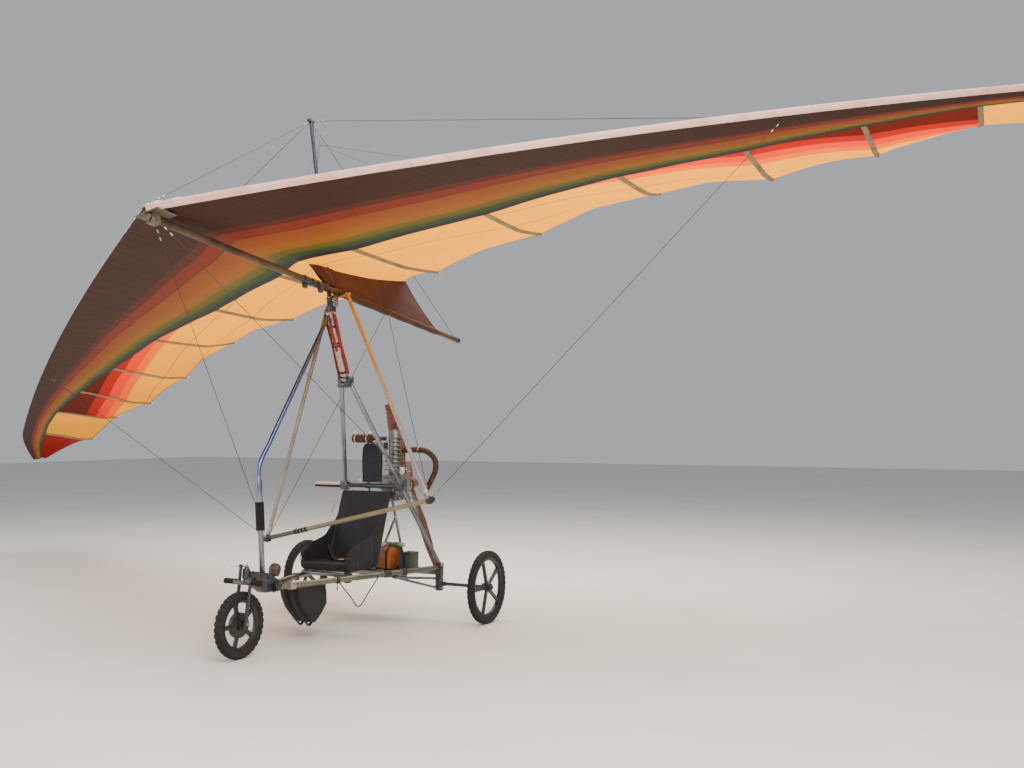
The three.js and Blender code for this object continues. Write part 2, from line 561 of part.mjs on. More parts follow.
add(prop, "propeller", propBody, WOOD);

// Hang block on the pitch bolt, and the wing on its roll pin
hang.position.copy(pitchBolt);
hang.rotation.x = -NOSE_UP;
trike.add(hang);
const rollHeight = HANG.pitchDrop - HANG.rollDrop;
add(hang, "hang_block", join(
  block(9, 44, rollHeight + 30, -28, 0, (rollHeight + 30) / 2 - 16),
  block(9, 44, rollHeight + 30, 28, 0, (rollHeight + 30) / 2 - 16),
  rod(V(-36, 0, 0), V(36, 0, 0), 8, 16),
  block(65, 44, 14, 0, 0, rollHeight + 7),
  rod(V(0, -44, rollHeight), V(0, 44, rollHeight), 8, 16),
), STEEL);
wing.position.set(0, 0, rollHeight);
wing.rotation.y = -ROLLED;
hang.add(wing);
const keelUp = HANG.rollDrop;
const W = (a, b, c) => V(a, b, c + keelUp);

// Keel, with the lugs that ride on the roll pin and the socket plates of the control frame
let keel = rod(W(0, -KEEL.nose, 0), W(0, KEEL.tail, 0), KEEL.radius, 20);
for (const b of [-36, 36]) {
  keel = join(keel, block(34, 8, keelUp + 8, 0, b, keelUp / 2 - 4));
}
keel = join(keel, block(2 * FRAME.topA + 30, 30, 20, 0, FRAME.topB + 44, keelUp - KEEL.radius - 6));
keel = cut(keel, rod(V(0, -60, 0), V(0, 60, 0), 8 + RUNNING_GAP, 16));
add(wing, "keel_tube", keel, ALUMINIUM);

// Sail halves
const beyond = (a) => Math.max(0, a - TIP.from) ** 2;
const leadB = (a) => -KEEL.nose + SWEEP_SLOPE * a + SWEEP_BEND * a * a + TIP.rake * beyond(a);
const planeC = (a) => RISE_SLOPE * a - RISE_BEND * a * a - TIP.droop * beyond(a);
// columns: a, aft edge of the lower surface, trailing edge, its height over the plane of the wing to port and to
// starboard, where the low half hangs flatter, and camber
const SAIL = [
  [0, -340, 1020, 320, 320, 25],
  [60, -310, 1005, 312, 312, 28],
  [307, -155, 985, 262, 262, 44],
  [730, 0, 960, 252, 250, 52],
  [1152, 160, 1092, 267, 256, 50],
  [1585, 280, 1132, 294, 243, 52],
  [2018, 415, 1380, 336, 292, 50],
  [2400, 560, 1386, 256, 195, 52],
  [2790, 715, 1592, 208, 160, 50],
  [3150, 850, 1722, 224, 134, 50],
  [3504, 1000, 1848, 200, 88, 46],
  [3850, 1160, 1985, 226, 108, 44],
  [4196, 1335, 2070, 240, 115, 40],
  [4585, 1570, 2275, 165, 82, 36],
  [4930, 1820, 2425, 130, 67, 32],
  [5250, 2030, 2390, 100, 60, 26],
  [5480, 2220, 2300, 60, 40, 16],
];
// The upper skin's height at a share of the chord, and the ring of points of one section
function skinTop([a, , , port, starboard, camber], share, side) {
  const trailC = side > 0 ? port : starboard;
  const arch = camber * Math.sin(Math.PI * Math.min(1, share * 1.15 + 0.08)) ** 0.9;
  return planeC(a) + trailC * share ** 2.2 + Math.max(arch, 0) + KEEL.radius + SPAR * (1 - share);
}

function sailRing(side, row) {
  const [a, lowerB, trailB] = row;
  const front = leadB(a);
  const base = planeC(a) + KEEL.radius + 4;
  const chord = trailB - front;
  const lower = (lowerB - front) / chord;
  const middle = (1 + lower) / 2;
  const crest = 0.3 * lower + 0.05;
  const across = side * Math.max(a, GAP / 2);
  const top = (share) => skinTop(row, share, side);
  const lowerTop = top(lower);
  const lowerC = lowerTop - 2 * SKIN - SLIT;
  return [
    [front - 14, base + ROLL_HIGH * 0.5],
    [front - 8, base],
    [lowerB, lowerC],
    [lowerB, lowerC + SKIN],
    [front + SPAR, base + SKIN],
    [front + SPAR, base + ROLL_HIGH - 12],
    [front + chord * crest, top(crest) - SKIN],
    [lowerB + 1, lowerTop - SKIN],
    [front + chord * middle, top(middle) - SKIN],
    [trailB, top(1) - SKIN],
    [trailB, top(1)],
    [front + chord * middle, top(middle)],
    [lowerB, lowerTop],
    [front + chord * crest, top(crest)],
    [front - 4, base + ROLL_HIGH],
  ].map(([b, c]) => W(across, b, c));
}

const sailHalf = (side) => loft(SAIL.map((row) => sailRing(side, row)));
const kingBase = W(0, KINGPOST.b, KEEL.radius + GAP);
const kingTop = W(0, KINGPOST.b + 10, KINGPOST.top);
const kingHole = reach(kingBase, kingTop, KINGPOST.radius + 3, 60, 16);
const tangFoot = W(0, -KEEL.nose + 46, KEEL.radius + 1);
const tangTop = W(0, -KEEL.nose + 52, KEEL.radius + 88);
const tangHole = reach(tangFoot, tangTop, 8, 4, 12);
add(wing, "sail_port", cut(sailHalf(1), kingHole, tangHole), SAIL_CLOTH);
add(wing, "sail_starboard", cut(sailHalf(-1), kingHole, tangHole), SAIL_CLOTH);
add(wing, "kingpost", join(
  rod(kingBase, kingTop, KINGPOST.radius, 16),
  block(30, 50, 24, 0, KINGPOST.b + 10, kingTop.z),
), ALUMINIUM);

// Control frame
const apex = (side) => W(side * FRAME.topA, FRAME.topB + 44, FRAME.topC + 12);
const corner = (side) => W(side * FRAME.cornerA, FRAME.cornerB, FRAME.cornerC);
for (const side of [-1, 1]) {
  const word = side > 0 ? "port" : "starboard";
  const socket = block(2 * FRAME.topA + 31, 31, 21, 0, FRAME.topB + 44, keelUp - KEEL.radius - 6);
  add(wing, "downtube_" + word, cut(rod(apex(side), corner(side), DOWNTUBE, 16), socket), ALUMINIUM);
}
let baseBar = rod(corner(-1), corner(1), BASE_BAR, 18);
for (const side of [-1, 1]) {
  baseBar = join(baseBar, block(34, 40, 44, side * FRAME.cornerA, FRAME.cornerB, FRAME.cornerC + keelUp));
  baseBar = cut(baseBar, reach(apex(side), corner(side), DOWNTUBE + GAP, GAP));
}
add(wing, "base_bar", trimmed(baseBar), ANODISED);

// Nose plate between keel and sail, and the pocket that ties the sail's root to the keel
const sails = [sailHalf(1), sailHalf(-1)];
const sailShadow = sails.flatMap((half) => [half, half.translate([0, 0, -2 * GAP]), half.translate([0, 0, -6])]);
const nosePlate = join(
  block(170, 150, 3, 0, -KEEL.nose + 60, keelUp + KEEL.radius + 2),
  cut(
    block(46, 60, 60, 0, -KEEL.nose + 40, keelUp - 2),
    reach(W(0, -KEEL.nose, 0), W(0, KEEL.tail, 0), KEEL.radius + GAP, 1, 20),
  ),
);
add(wing, "nose_plate", join(trimmed(nosePlate, ...sailShadow), rod(tangFoot, tangTop, 5, 12)), STEEL);
const rootRow = SAIL[0];
const rootChord = rootRow[2] - leadB(0);
const pocketTop = [1, 0.86, 0.74, 0.628].map((share) => [
  leadB(0) + rootChord * share,
  keelUp + skinTop(rootRow, share, 1) - SKIN - 1.2,
]);
add(wing, "keel_pocket", profileAcross([
  [6, keelUp + KEEL.radius + GAP],
  [1400, keelUp + KEEL.radius + GAP],
  ...pocketTop,
], -5, 5), POCKET_CLOTH);

// Stays: flying wires under the wing and landing wires from the kingpost
const keelHole = reach(W(0, -KEEL.nose, 0), W(0, KEEL.tail, 0), KEEL.radius + GAP, 30, 20);
const gapBlock = (sizeX, sizeY, sizeZ, ...place) => block(sizeX + 2 * GAP, sizeY + 2 * GAP, sizeZ + 2 * GAP, ...place);
const plateHole = gapBlock(46, 60, 60, 0, -KEEL.nose + 40, keelUp - 2);
const cornerHole = (side) => gapBlock(34, 40, 44, side * FRAME.cornerA, FRAME.cornerB, FRAME.cornerC + keelUp);
const JUNCTION_A = 3150;
const junction = (side, up) => W(side * JUNCTION_A, leadB(JUNCTION_A) + 30, planeC(JUNCTION_A) + up);
for (const side of [-1, 1]) {
  const word = side > 0 ? "port" : "starboard";
  const tools = [cornerHole(side), reach(apex(side), corner(side), DOWNTUBE + GAP), ...sailShadow, keelHole, plateHole];
  const far = [
    ["side_stay_", junction(side, 60)],
    ["front_stay_", W(side * 10, -KEEL.nose + 50, 0)],
    ["rear_stay_", W(side * 10, KEEL.tang, 0)],
  ];
  for (const [name, end] of far) {
    add(wing, name + word, trimmed(rod(corner(side), end, STAY, 8), ...tools), STEEL);
  }
}
const topHole = block(30 + 4 * GAP, 50 + 4 * GAP, 24 + 4 * GAP, 0, KINGPOST.b + 10, kingTop.z);
const tangCap = block(14, 14, 14, tangTop.x, tangTop.y, tangTop.z);
const sailOver = sails.flatMap((half) => [half, half.translate([0, 0, 2 * GAP]), half.translate([0, 0, 8])]);
const topFar = [
  ["top_stay_nose", tangTop],
  ["top_stay_tail", W(0, KEEL.tail - 40, 0)],
  ["top_stay_port", junction(1, 30)],
  ["top_stay_starboard", junction(-1, 30)],
];
for (const [name, end] of topFar) {
  const pocketHole = profileAcross([[-80, 0], [1420, 0], [1080, keelUp + 430], [-80, keelUp + 250]], -6, 6);
  const tools = [topHole, keelHole, tangCap, ...sailOver, pocketHole];
  add(wing, name, trimmed(rod(kingTop, end, STAY, 8), ...tools), STEEL);
}

// The part's own frame has its origin under the middle of its box
trike.updateMatrixWorld(true);
const box = new THREE.Box3().setFromObject(trike, true);
trike.position.set(-(box.min.x + box.max.x) / 2, -(box.min.y + box.max.y) / 2, -box.min.z);

export default trike;
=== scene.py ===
"""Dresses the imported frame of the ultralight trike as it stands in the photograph.

Trike points are millimetres from where the nose wheel meets the ground: x to port, y aft, z up. Wing points are
millimetres from the hang point on the keel: a to port, b aft along the keel, c above it.
"""
from __future__ import annotations

import json
import logging
import math
from dataclasses import dataclass
from enum import Enum
from typing import Callable, Sequence

import bmesh
import bpy
from mathutils import Matrix, Vector, noise


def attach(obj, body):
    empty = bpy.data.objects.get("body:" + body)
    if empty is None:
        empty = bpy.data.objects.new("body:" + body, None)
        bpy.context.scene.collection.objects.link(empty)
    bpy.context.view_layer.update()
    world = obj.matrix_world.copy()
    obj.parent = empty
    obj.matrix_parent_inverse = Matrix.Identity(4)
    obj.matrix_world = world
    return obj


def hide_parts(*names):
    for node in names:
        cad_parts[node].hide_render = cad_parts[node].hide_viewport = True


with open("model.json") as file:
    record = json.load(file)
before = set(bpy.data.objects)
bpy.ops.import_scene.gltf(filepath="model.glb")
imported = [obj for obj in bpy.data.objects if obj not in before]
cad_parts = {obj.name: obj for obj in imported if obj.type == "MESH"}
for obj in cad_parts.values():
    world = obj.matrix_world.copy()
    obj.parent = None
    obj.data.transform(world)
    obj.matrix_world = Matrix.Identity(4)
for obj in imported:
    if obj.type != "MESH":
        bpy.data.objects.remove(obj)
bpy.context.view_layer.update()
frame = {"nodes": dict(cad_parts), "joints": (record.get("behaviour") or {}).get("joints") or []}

LOG = logging.getLogger("trike")
Point = tuple[float, float, float]

JOINTS = {joint["name"]: Vector(joint["pos_m"]) for joint in frame["joints"]}
NOSE_CONTACT = JOINTS["front_wheel_spin"] - Vector((0, 0, 0.2))
ROLL_PIN = JOINTS["wing_roll"]
NOSE_UP = math.radians(7.2)
ROLLED = math.radians(13.3)
WING_TURN = Matrix.Rotation(-NOSE_UP, 3, "X") @ Matrix.Rotation(-ROLLED, 3, "Y")
KEEL_OVER_PIN = 58
CUSHION_PRESSURE, CLOTH_FRAMES = 4.0, 14
PORTWARD, AFT, UP = Vector((1, 0, 0)), Vector((0, 1, 0)), Vector((0, 0, 1))
WING_AFT, WING_UP = WING_TURN @ AFT, WING_TURN @ UP


def at(x: float, y: float, z: float) -> Vector:
    """A trike point in millimetres as a frame point in metres."""
    return NOSE_CONTACT + Vector((x, y, z)) / 1000


def on_wing(a: float, b: float, c: float) -> Vector:
    """A wing point in millimetres as a frame point in metres."""
    return ROLL_PIN + WING_TURN @ Vector((a, b, c + KEEL_OVER_PIN)) / 1000


class Side(Enum):
    """The two halves of the aircraft."""

    PORT = 1
    STARBOARD = -1

    @property
    def word(self) -> str:
        """The half's name in piece and node names."""
        return self.name.lower()


class Body(Enum):
    """The CAD bodies that pieces ride on."""

    TRIKE = "trike"
    FORK = "fork"
    FRONT_WHEEL = "front_wheel"
    REAR_PORT_WHEEL = "rear_port_wheel"
    REAR_STARBOARD_WHEEL = "rear_starboard_wheel"
    PROPELLER = "propeller"
    HANG_BLOCK = "hang_block"
    WING = "wing"


# Finishes


def linear(colour: str) -> tuple[float, float, float, float]:
    """Turns an sRGB hex colour into linear channels.

    Args:
        colour: six hex digits.

    Returns:
        Red, green and blue, linear, and full alpha.
    """
    channels = [int(colour[i : i + 2], 16) / 255 for i in (0, 2, 4)]
    return (*[c / 12.92 if c <= 0.04045 else ((c + 0.055) / 1.055) ** 2.4 for c in channels], 1.0)


def add_node(tree: bpy.types.NodeTree, kind: str, settings: dict | None = None, inputs: dict | None = None,
             ramp: Sequence[tuple[float, str]] = ()) -> bpy.types.Node:
    """Adds a shader node.

    Args:
        tree: the material's node tree.
        kind: the node's type, without its ShaderNode prefix.
        settings: its properties by name.
        inputs: its sockets by name or number, each a value or the output that feeds it.
        ramp: the stops of a colour ramp, each a place and an sRGB hex colour.

    Returns:
        The node.
    """
    node = tree.nodes.new("ShaderNode" + kind)
    for key, value in (settings or {}).items():
        setattr(node, key, value)
    for socket, value in (inputs or {}).items():
        if isinstance(value, bpy.types.NodeSocket):
            tree.links.new(value, node.inputs[socket])
        else:
            node.inputs[socket].default_value = value
    for count, (place, colour) in enumerate(ramp):
        stops = node.color_ramp.elements
        stop = stops[count] if count < 2 else stops.new(place)
        stop.position = place
        stop.color = linear(colour)
    return node


@dataclass(frozen=True)
class Surface:
    """What all finishes share: a name and a material that is made once."""

    name: str

    def material(self) -> bpy.types.Material:
        """The finish's material, made once."""
        known = bpy.data.materials.get(self.name)
        if known:
            return known
        made = bpy.data.materials.new(self.name)
        made.use_nodes = True
        self.build(made.node_tree, made.node_tree.nodes["Principled BSDF"])
        return made

    def build(self, tree: bpy.types.NodeTree, shader: bpy.types.Node) -> None:
        """Wires the finish's pattern into the shader.

        Args:
            tree: the material's node tree.
            shader: its principled shader.
        """
        raise NotImplementedError


@dataclass(frozen=True)
class Finish(Surface):
    """A surface with a base colour, a second colour in patches, fine grain and relief.

    Shares say how much of the surface the patches and the dirt cover. The noise that they come from lies about 0.5,
    so the edges of a patch are thresholds a little above it.
    """

    colour: str
    patch: str
    roughness: float
    metallic: float = 0.0
    patch_mm: float = 60.0
    patch_share: float = 0.5
    grain_mm: float = 1.2
    relief_mm: float = 0.05
    dirt: str = "5b5145"
    dirt_share: float = 0.25
    ior: float = 1.5
    coat: float = 0.0

    def build(self, tree: bpy.types.NodeTree, shader: bpy.types.Node) -> None:
        """Wires the patches, the dirt, the grain and the relief into the shader."""
        place = add_node(tree, "TexCoord").outputs["Object"]
        patches = add_node(tree, "TexNoise", inputs={"Vector": place, "Scale": 1000 / self.patch_mm, "Detail": 5.0})
        spread = add_node(tree, "MapRange", inputs={
            "Value": patches.outputs["Fac"], "From Min": 0.62 - 0.3 * self.patch_share,
            "From Max": 0.78 - 0.2 * self.patch_share})
        grain = add_node(tree, "TexNoise", inputs={"Vector": place, "Scale": 1000 / self.grain_mm, "Detail": 3.0})
        dust = add_node(tree, "TexNoise", inputs={"Vector": place, "Scale": 1000 / (self.patch_mm * 0.22),
                                                  "Detail": 6.0, "Roughness": 0.7})
        dusty = add_node(tree, "MapRange", inputs={
            "Value": dust.outputs["Fac"], "From Min": 0.72 - 0.3 * self.dirt_share, "From Max": 0.8,
            "To Max": min(1.0, 2.4 * self.dirt_share)})
        base = add_node(tree, "Mix", {"data_type": "RGBA"}, {
            0: spread.outputs[0], 6: linear(self.colour), 7: linear(self.patch)})
        soiled = add_node(tree, "Mix", {"data_type": "RGBA"}, {
            0: dusty.outputs[0], 6: base.outputs[2], 7: linear(self.dirt)})
        rough = add_node(tree, "MapRange", inputs={
            "Value": grain.outputs["Fac"], "To Min": max(0.05, self.roughness - 0.12),
            "To Max": min(1.0, self.roughness + 0.14)})
        relief = add_node(tree, "Bump", inputs={
            "Height": grain.outputs["Fac"], "Distance": self.relief_mm / 1000, "Strength": 0.6})
        tree.links.new(soiled.outputs[2], shader.inputs["Base Color"])
        tree.links.new(rough.outputs[0], shader.inputs["Roughness"])
        tree.links.new(relief.outputs[0], shader.inputs["Normal"])
        shader.inputs["Metallic"].default_value = self.metallic
        if not self.metallic:
            shader.inputs["IOR"].default_value = self.ior
        shader.inputs["Coat Weight"].default_value = self.coat


@dataclass(frozen=True)
class Weave(Finish):
    """A woven cloth: the pattern of a plain finish with crossing threads and a soft sheen."""

    thread_mm: float = 1.6
    sheen: float = 0.03

    def build(self, tree: bpy.types.NodeTree, shader: bpy.types.Node) -> None:
        """Wires the pattern and the threads into the shader."""
        super().build(tree, shader)
        place = add_node(tree, "TexCoord").outputs["Object"]
        threads = [add_node(tree, "TexWave", {"bands_direction": axis}, {
            "Vector": place, "Scale": 1000 / self.thread_mm / 20, "Distortion": 0.4}) for axis in ("X", "Z")]
        cross = add_node(tree, "Math", {"operation": "MAXIMUM"}, {
            0: threads[0].outputs["Fac"], 1: threads[1].outputs["Fac"]})
        relief = add_node(tree, "Bump", inputs={
            "Height": cross.outputs[0], "Distance": self.thread_mm / 5000, "Strength": 0.5})
        tree.links.new(relief.outputs[0], shader.inputs["Normal"])
        shader.inputs["Sheen Weight"].default_value = self.sheen


@dataclass(frozen=True)
class Graded(Finish):
    """A plain finish tinted along one axis, for tube that is bleached, lit or worn more at one end."""

    axis: int = 2
    low_m: float = 0.0
    high_m: float = 1.0
    tints: tuple[tuple[float, str], ...] = ()

    def build(self, tree: bpy.types.NodeTree, shader: bpy.types.Node) -> None:
        """Wires the pattern into the shader and lays the tints over it."""
        super().build(tree, shader)
        plain = shader.inputs["Base Color"].links[0].from_socket
        place = add_node(tree, "SeparateXYZ", inputs={0: add_node(tree, "TexCoord").outputs["Object"]})
        share = add_node(tree, "MapRange", inputs={
            "Value": place.outputs[self.axis], "From Min": self.low_m, "From Max": self.high_m})
        tint = add_node(tree, "ValToRGB", inputs={0: share.outputs[0]}, ramp=self.tints)
        both = add_node(tree, "Mix", {"data_type": "RGBA", "blend_type": "MULTIPLY"}, {
            0: 1.0, 6: plain, 7: tint.outputs[0]})
        tree.links.new(both.outputs[2], shader.inputs["Base Color"])


@dataclass(frozen=True)
class SailCloth(Surface):
    """Light polyester sailcloth in sewn bands, which lets light through and glows where one layer shows.

    The first UV map holds how far round the section a point is, as a share or in metres, and how far along the span
    it is in metres. The second holds its distance from the trailing edge.
    """

    bands: tuple[tuple[float, str], ...]
    glow: float
    blended: bool = False
    panels: tuple[tuple[float, str], ...] = ()
    thread: str = "6e4310"
    seams_m: tuple[float, ...] = ()
    seam_half_m: float = 0.005
    hem: str = "33241c"
    hem_m: float = 0.013
    mottle: float = 0.14
    crease_scale: Point = (2.5, 14.0, 1.0)
    thread_scale: float = 36.0
    relief_m: float = 0.02

    def build(self, tree: bpy.types.NodeTree, shader: bpy.types.Node) -> None:
        """Wires the bands, panels, seams, mottling and creases into the shader."""
        cloth = add_node(tree, "UVMap", {"uv_map": "cloth"}).outputs[0]
        edge = add_node(tree, "UVMap", {"uv_map": "edges"}).outputs[0]
        along = add_node(tree, "SeparateXYZ", inputs={0: cloth})
        edges = add_node(tree, "SeparateXYZ", inputs={0: edge})
        ramp = add_node(tree, "ValToRGB", inputs={0: along.outputs[0]}, ramp=self.bands)
        ramp.color_ramp.interpolation = "LINEAR" if self.blended else "CONSTANT"
        colour = ramp.outputs[0]
        for start, panel in self.panels:
            colour = self.over(tree, colour, panel, self.test(tree, "GREATER_THAN", along.outputs[1], start), 1.0)
        mottle = add_node(tree, "TexNoise", inputs={"Vector": cloth, "Scale": 2.6, "Detail": 4.0})
        value = add_node(tree, "MapRange", inputs={
            "Value": mottle.outputs["Fac"], "To Min": 1 - self.mottle, "To Max": 1 + self.mottle})
        colour = add_node(tree, "HueSaturation", inputs={"Color": colour, "Value": value.outputs[0]}).outputs[0]
        for seam in self.seams_m:
            apart = add_node(tree, "Math", {"operation": "COMPARE"}, {
                0: along.outputs[0], 1: seam, 2: self.seam_half_m})
            colour = self.over(tree, colour, self.thread, apart.outputs[0], 0.7)
        colour = self.over(tree, colour, self.hem, self.test(tree, "LESS_THAN", edges.outputs[0], self.hem_m), 0.75)
        creases = add_node(tree, "TexNoise", inputs={
            "Vector": add_node(tree, "Mapping", inputs={"Vector": cloth, "Scale": self.crease_scale}).outputs[0],
            "Scale": 1.0, "Detail": 5.0, "Roughness": 0.6})
        threads = add_node(tree, "TexWave", inputs={"Vector": cloth, "Scale": self.thread_scale, "Distortion": 1.0})
        height = add_node(tree, "Math", {"operation": "MULTIPLY_ADD"}, {
            0: threads.outputs["Fac"], 1: 0.03, 2: creases.outputs["Fac"]})
        relief = add_node(tree, "Bump", inputs={
            "Height": height.outputs[0], "Distance": self.relief_m, "Strength": 0.5})
        tree.links.new(colour, shader.inputs["Base Color"])
        tree.links.new(relief.outputs[0], shader.inputs["Normal"])
        shader.inputs["Roughness"].default_value = 0.6
        shader.inputs["Specular IOR Level"].default_value = 0.25
        through = add_node(tree, "BsdfTranslucent", inputs={"Color": colour, "Normal": relief.outputs[0]})
        both = add_node(tree, "MixShader", inputs={0: self.glow, 1: shader.outputs[0], 2: through.outputs[0]})
        tree.links.new(both.outputs[0], tree.nodes["Material Output"].inputs["Surface"])

    @staticmethod
    def test(tree: bpy.types.NodeTree, operation: str, value: bpy.types.NodeSocket,
             limit: float) -> bpy.types.NodeSocket:
        """Compares a value with a limit; gives 1 or 0."""
        return add_node(tree, "Math", {"operation": operation}, {0: value, 1: limit}).outputs[0]

    @staticmethod
    def over(tree: bpy.types.NodeTree, below: bpy.types.NodeSocket, colour: str, where: bpy.types.NodeSocket,
             share: float) -> bpy.types.NodeSocket:
        """Lays a colour over another where a mask is 1.

        Args:
            tree: the material's node tree.
            below: the colour below.
            colour: six hex digits.
            where: the mask.
            share: how much of the colour below it hides.

        Returns:
            The mixed colour.
        """
        mask = add_node(tree, "Math", {"operation": "MULTIPLY"}, {0: where, 1: share})
        return add_node(tree, "Mix", {"data_type": "RGBA"}, {
            0: mask.outputs[0], 6: below, 7: linear(colour)}).outputs[2]


# Drawn aluminium tube, satin and a little oxidised: broad soft highlights that break into grey patches
ALLOY = Finish("drawn_aluminium_tube", "888c90", "6a6e73", 0.36, 1.0, 120, 0.5, 0.8, 0.02, "5d584e", 0.2)
# The same tube on the base frame, greener where grass and oil have stained it
SIDE_ALLOY = Finish("stained_aluminium_tube", "7f8376", "666a60", 0.4, 1.0, 150, 0.5, 0.8, 0.02, "57513f", 0.25)
# Front strut: grey alloy below the collar; above it a blue tint that is a painted reflection of the sky
STRUT_ALLOY = Graded("blue_tinted_tube", "d8dade", "b9bdc4", 0.34, 1.0, 120, 0.5, 0.8, 0.02, "8b857c", 0.15,
                     low_m=0.9, high_m=1.5,
                     tints=((0.0, "a2a6ab"), (0.25, "98a0ad"), (0.4, "6b84b4"), (1.0, "7e93bd")))
# Pale pink anodised aluminium, rubbed in patches
ANODISED = Finish("rose_anodised_aluminium", "b9a29b", "9d8279", 0.38, 1.0, 90, 0.5, 0.8, 0.02, "6d5a50", 0.2)
# Port downtube: gold lacquer at the top, worn to tan and then to lilac-grey metal
PORT_TUBE = Graded("worn_gold_tube", "eeeae2", "d6d0c6", 0.42, 0.15, 140, 0.5, 1.5, 0.03, "8a745a", 0.2, 1.5, 0.2,
                   low_m=0.9, high_m=2.25,
                   tints=((0.0, "8e8794"), (0.35, "9a8b8d"), (0.55, "b58c70"), (0.7, "c98f45"), (1.0, "cf9030")))
# Starboard downtube: grey metal low down, made paler there by painted sunlight, tan higher up
STARBOARD_TUBE = Graded("worn_tan_tube", "e6e2da", "cbc6bc", 0.42, 0.4, 140, 0.5, 1.5, 0.03, "80705c", 0.2, 1.5,
                        low_m=0.65, high_m=2.2, tints=((0.0, "a39c92"), (0.5, "96887a"), (1.0, "8a6e50")))
# Base bar: olive-tan lacquer, dark tape at its starboard end
BAR_TUBE = Graded("olive_tan_lacquer", "ece8dc", "d5cfbf", 0.45, 0.1, 120, 0.5, 1.5, 0.03, "7c6f55", 0.2, 1.5, 0.2,
                  axis=0, low_m=-0.18, high_m=1.04,
                  tints=((0.0, "3f3a35"), (0.19, "4b443c"), (0.2, "7c6f57"), (1.0, "877a64")))
# Keel: brown-stained tube
KEEL_TUBE = Finish("brown_stained_keel", "6a5541", "463527", 0.45, 0.55, 180, 0.5, 1.2, 0.03, "4b3826", 0.25)
# The padded stub: pink foam over dark red, its pale top painted sunlight and its near-black underside painted shade
STUB = Graded("faded_pink_foam", "f0ece8", "dcd4d0", 0.75, 0.0, 60, 0.5, 1.5, 0.2, "8a7068", 0.1, 1.45,
              low_m=0.943, high_m=0.981, tints=((0.0, "120908"), (0.42, "24100d"), (0.55, "c9a59b"), (1.0, "e6cfc8")))
# Dark blue-grey enamel on welded steel, with dusty patches
ENAMEL = Finish("dark_blue_grey_enamel", "222831", "323a45", 0.42, 0.0, 30, 0.5, 1.0, 0.05, "5f574a", 0.22, 1.5, 0.2)
# Zinc-plated steel: cooler and duller than the tube
ZINC = Finish("zinc_plated_steel", "a3a6aa", "7f8285", 0.4, 1.0, 12, 0.5, 0.6, 0.03, "57503f", 0.25)
# Stranded stainless wire, dull from handling
WIRE = Finish("dull_stranded_wire", "403e3c", "2d2b2a", 0.6, 0.5, 8, 0.5, 0.5, 0.02, "3c372f", 0.3)
# Kingpost: dark anodised tube, faded to blue-grey
POST = Finish("dark_anodised_post", "3a3f4a", "2a2e37", 0.45, 0.6, 60, 0.5, 0.8, 0.02, "5a5650", 0.2)
# Nose plate: weathered beige-grey alloy with olive stains
PLATE = Finish("weathered_beige_plate", "6f6957", "45463a", 0.6, 0.4, 30, 0.5, 1.0, 0.05, "2f2e26", 0.35)
# Black moulded nylon: smooth with a grey scuffed bloom
NYLON = Finish("black_moulded_nylon", "0e0f10", "1c1e1f", 0.42, 0.0, 35, 0.5, 0.9, 0.04, "4a443a", 0.18, 1.53)
# White moulded caps and plastic bolts, a little yellowed
CAP_WHITE = Finish("yellowed_white_nylon", "d9d4c8", "c4bba8", 0.5, 0.0, 14, 0.5, 0.8, 0.03, "7a6c58", 0.2)
# Cycle tyre rubber: matt, with patches of pale dust
RUBBER = Finish("dusty_tyre_rubber", "0f0f0f", "191817", 0.82, 0.0, 40, 0.5, 0.7, 0.06, "4a4338", 0.25, 1.52)
# Closed-cell foam: no gloss and a fine open grain
FOAM = Finish("closed_cell_foam", "0c0c0e", "161618", 0.95, 0.0, 20, 0.5, 1.4, 0.25, "443f36", 0.15, 1.45)
# Olive rubber inside the pegs' hollow ends
OLIVE = Finish("olive_rubber", "3c3c26", "2c2d1e", 0.7, 0.0, 20, 0.5, 1.0, 0.05, "2c2c20", 0.3)
# Brown moulded cup on the nose bracket
CUP_BROWN = Finish("brown_moulded_cup", "4c382d", "33251f", 0.55, 0.0, 25, 0.5, 1.0, 0.06, "3a2a22", 0.3)
# Cast engine alloy: rough sand-cast skin with oily patches
CASTING = Finish("sand_cast_alloy", "8a8b89", "62625f", 0.55, 1.0, 40, 0.5, 1.6, 0.2, "2e271f", 0.45)
# Exhaust steel: dark brown scale over blue-grey, fully matt
SCALE = Finish("scaled_exhaust_steel", "3f291f", "5f3f2c", 0.8, 0.3, 26, 0.5, 1.2, 0.15, "1d1612", 0.4)
# Translucent fuel tank polyethylene stained by its fuel
TANK = Finish("stained_polyethylene", "8e4c16", "6f390f", 0.4, 0.0, 60, 0.5, 1.5, 0.05, "4d2a10", 0.25, 1.51)
# Grey-green moulded box
BOX = Finish("grey_green_abs", "2c3531", "232b28", 0.5, 0.0, 40, 0.5, 1.2, 0.08, "565043", 0.2, 1.53)
# Varnished laminated beech, red-brown
BEECH = Finish("varnished_beech", "6b3826", "4a2418", 0.34, 0.0, 18, 0.6, 1.0, 0.03, "3a2014", 0.15, 1.5, 0.6)
# Red polyester webbing at the mast head, faded by sun
RED_WEB = Weave("red_webbing", "8a2418", "641a13", 0.8, 0.0, 30, 0.5, 1.0, 0.05, "3d1c16", 0.25, thread_mm=3.0)
# Black webbing of the lap belt and the bar's ties
BLACK_WEB = Weave("black_webbing", "121214", "1d1d20", 0.8, 0.0, 25, 0.5, 1.0, 0.05, "48423a", 0.2, thread_mm=2.4)
# Dark navy nylon on the seat
SEAT_CLOTH = Weave("navy_nylon_cloth", "070912", "0d1120", 0.74, 0.0, 60, 0.5, 1.0, 0.05, "1f1d1c", 0.1)
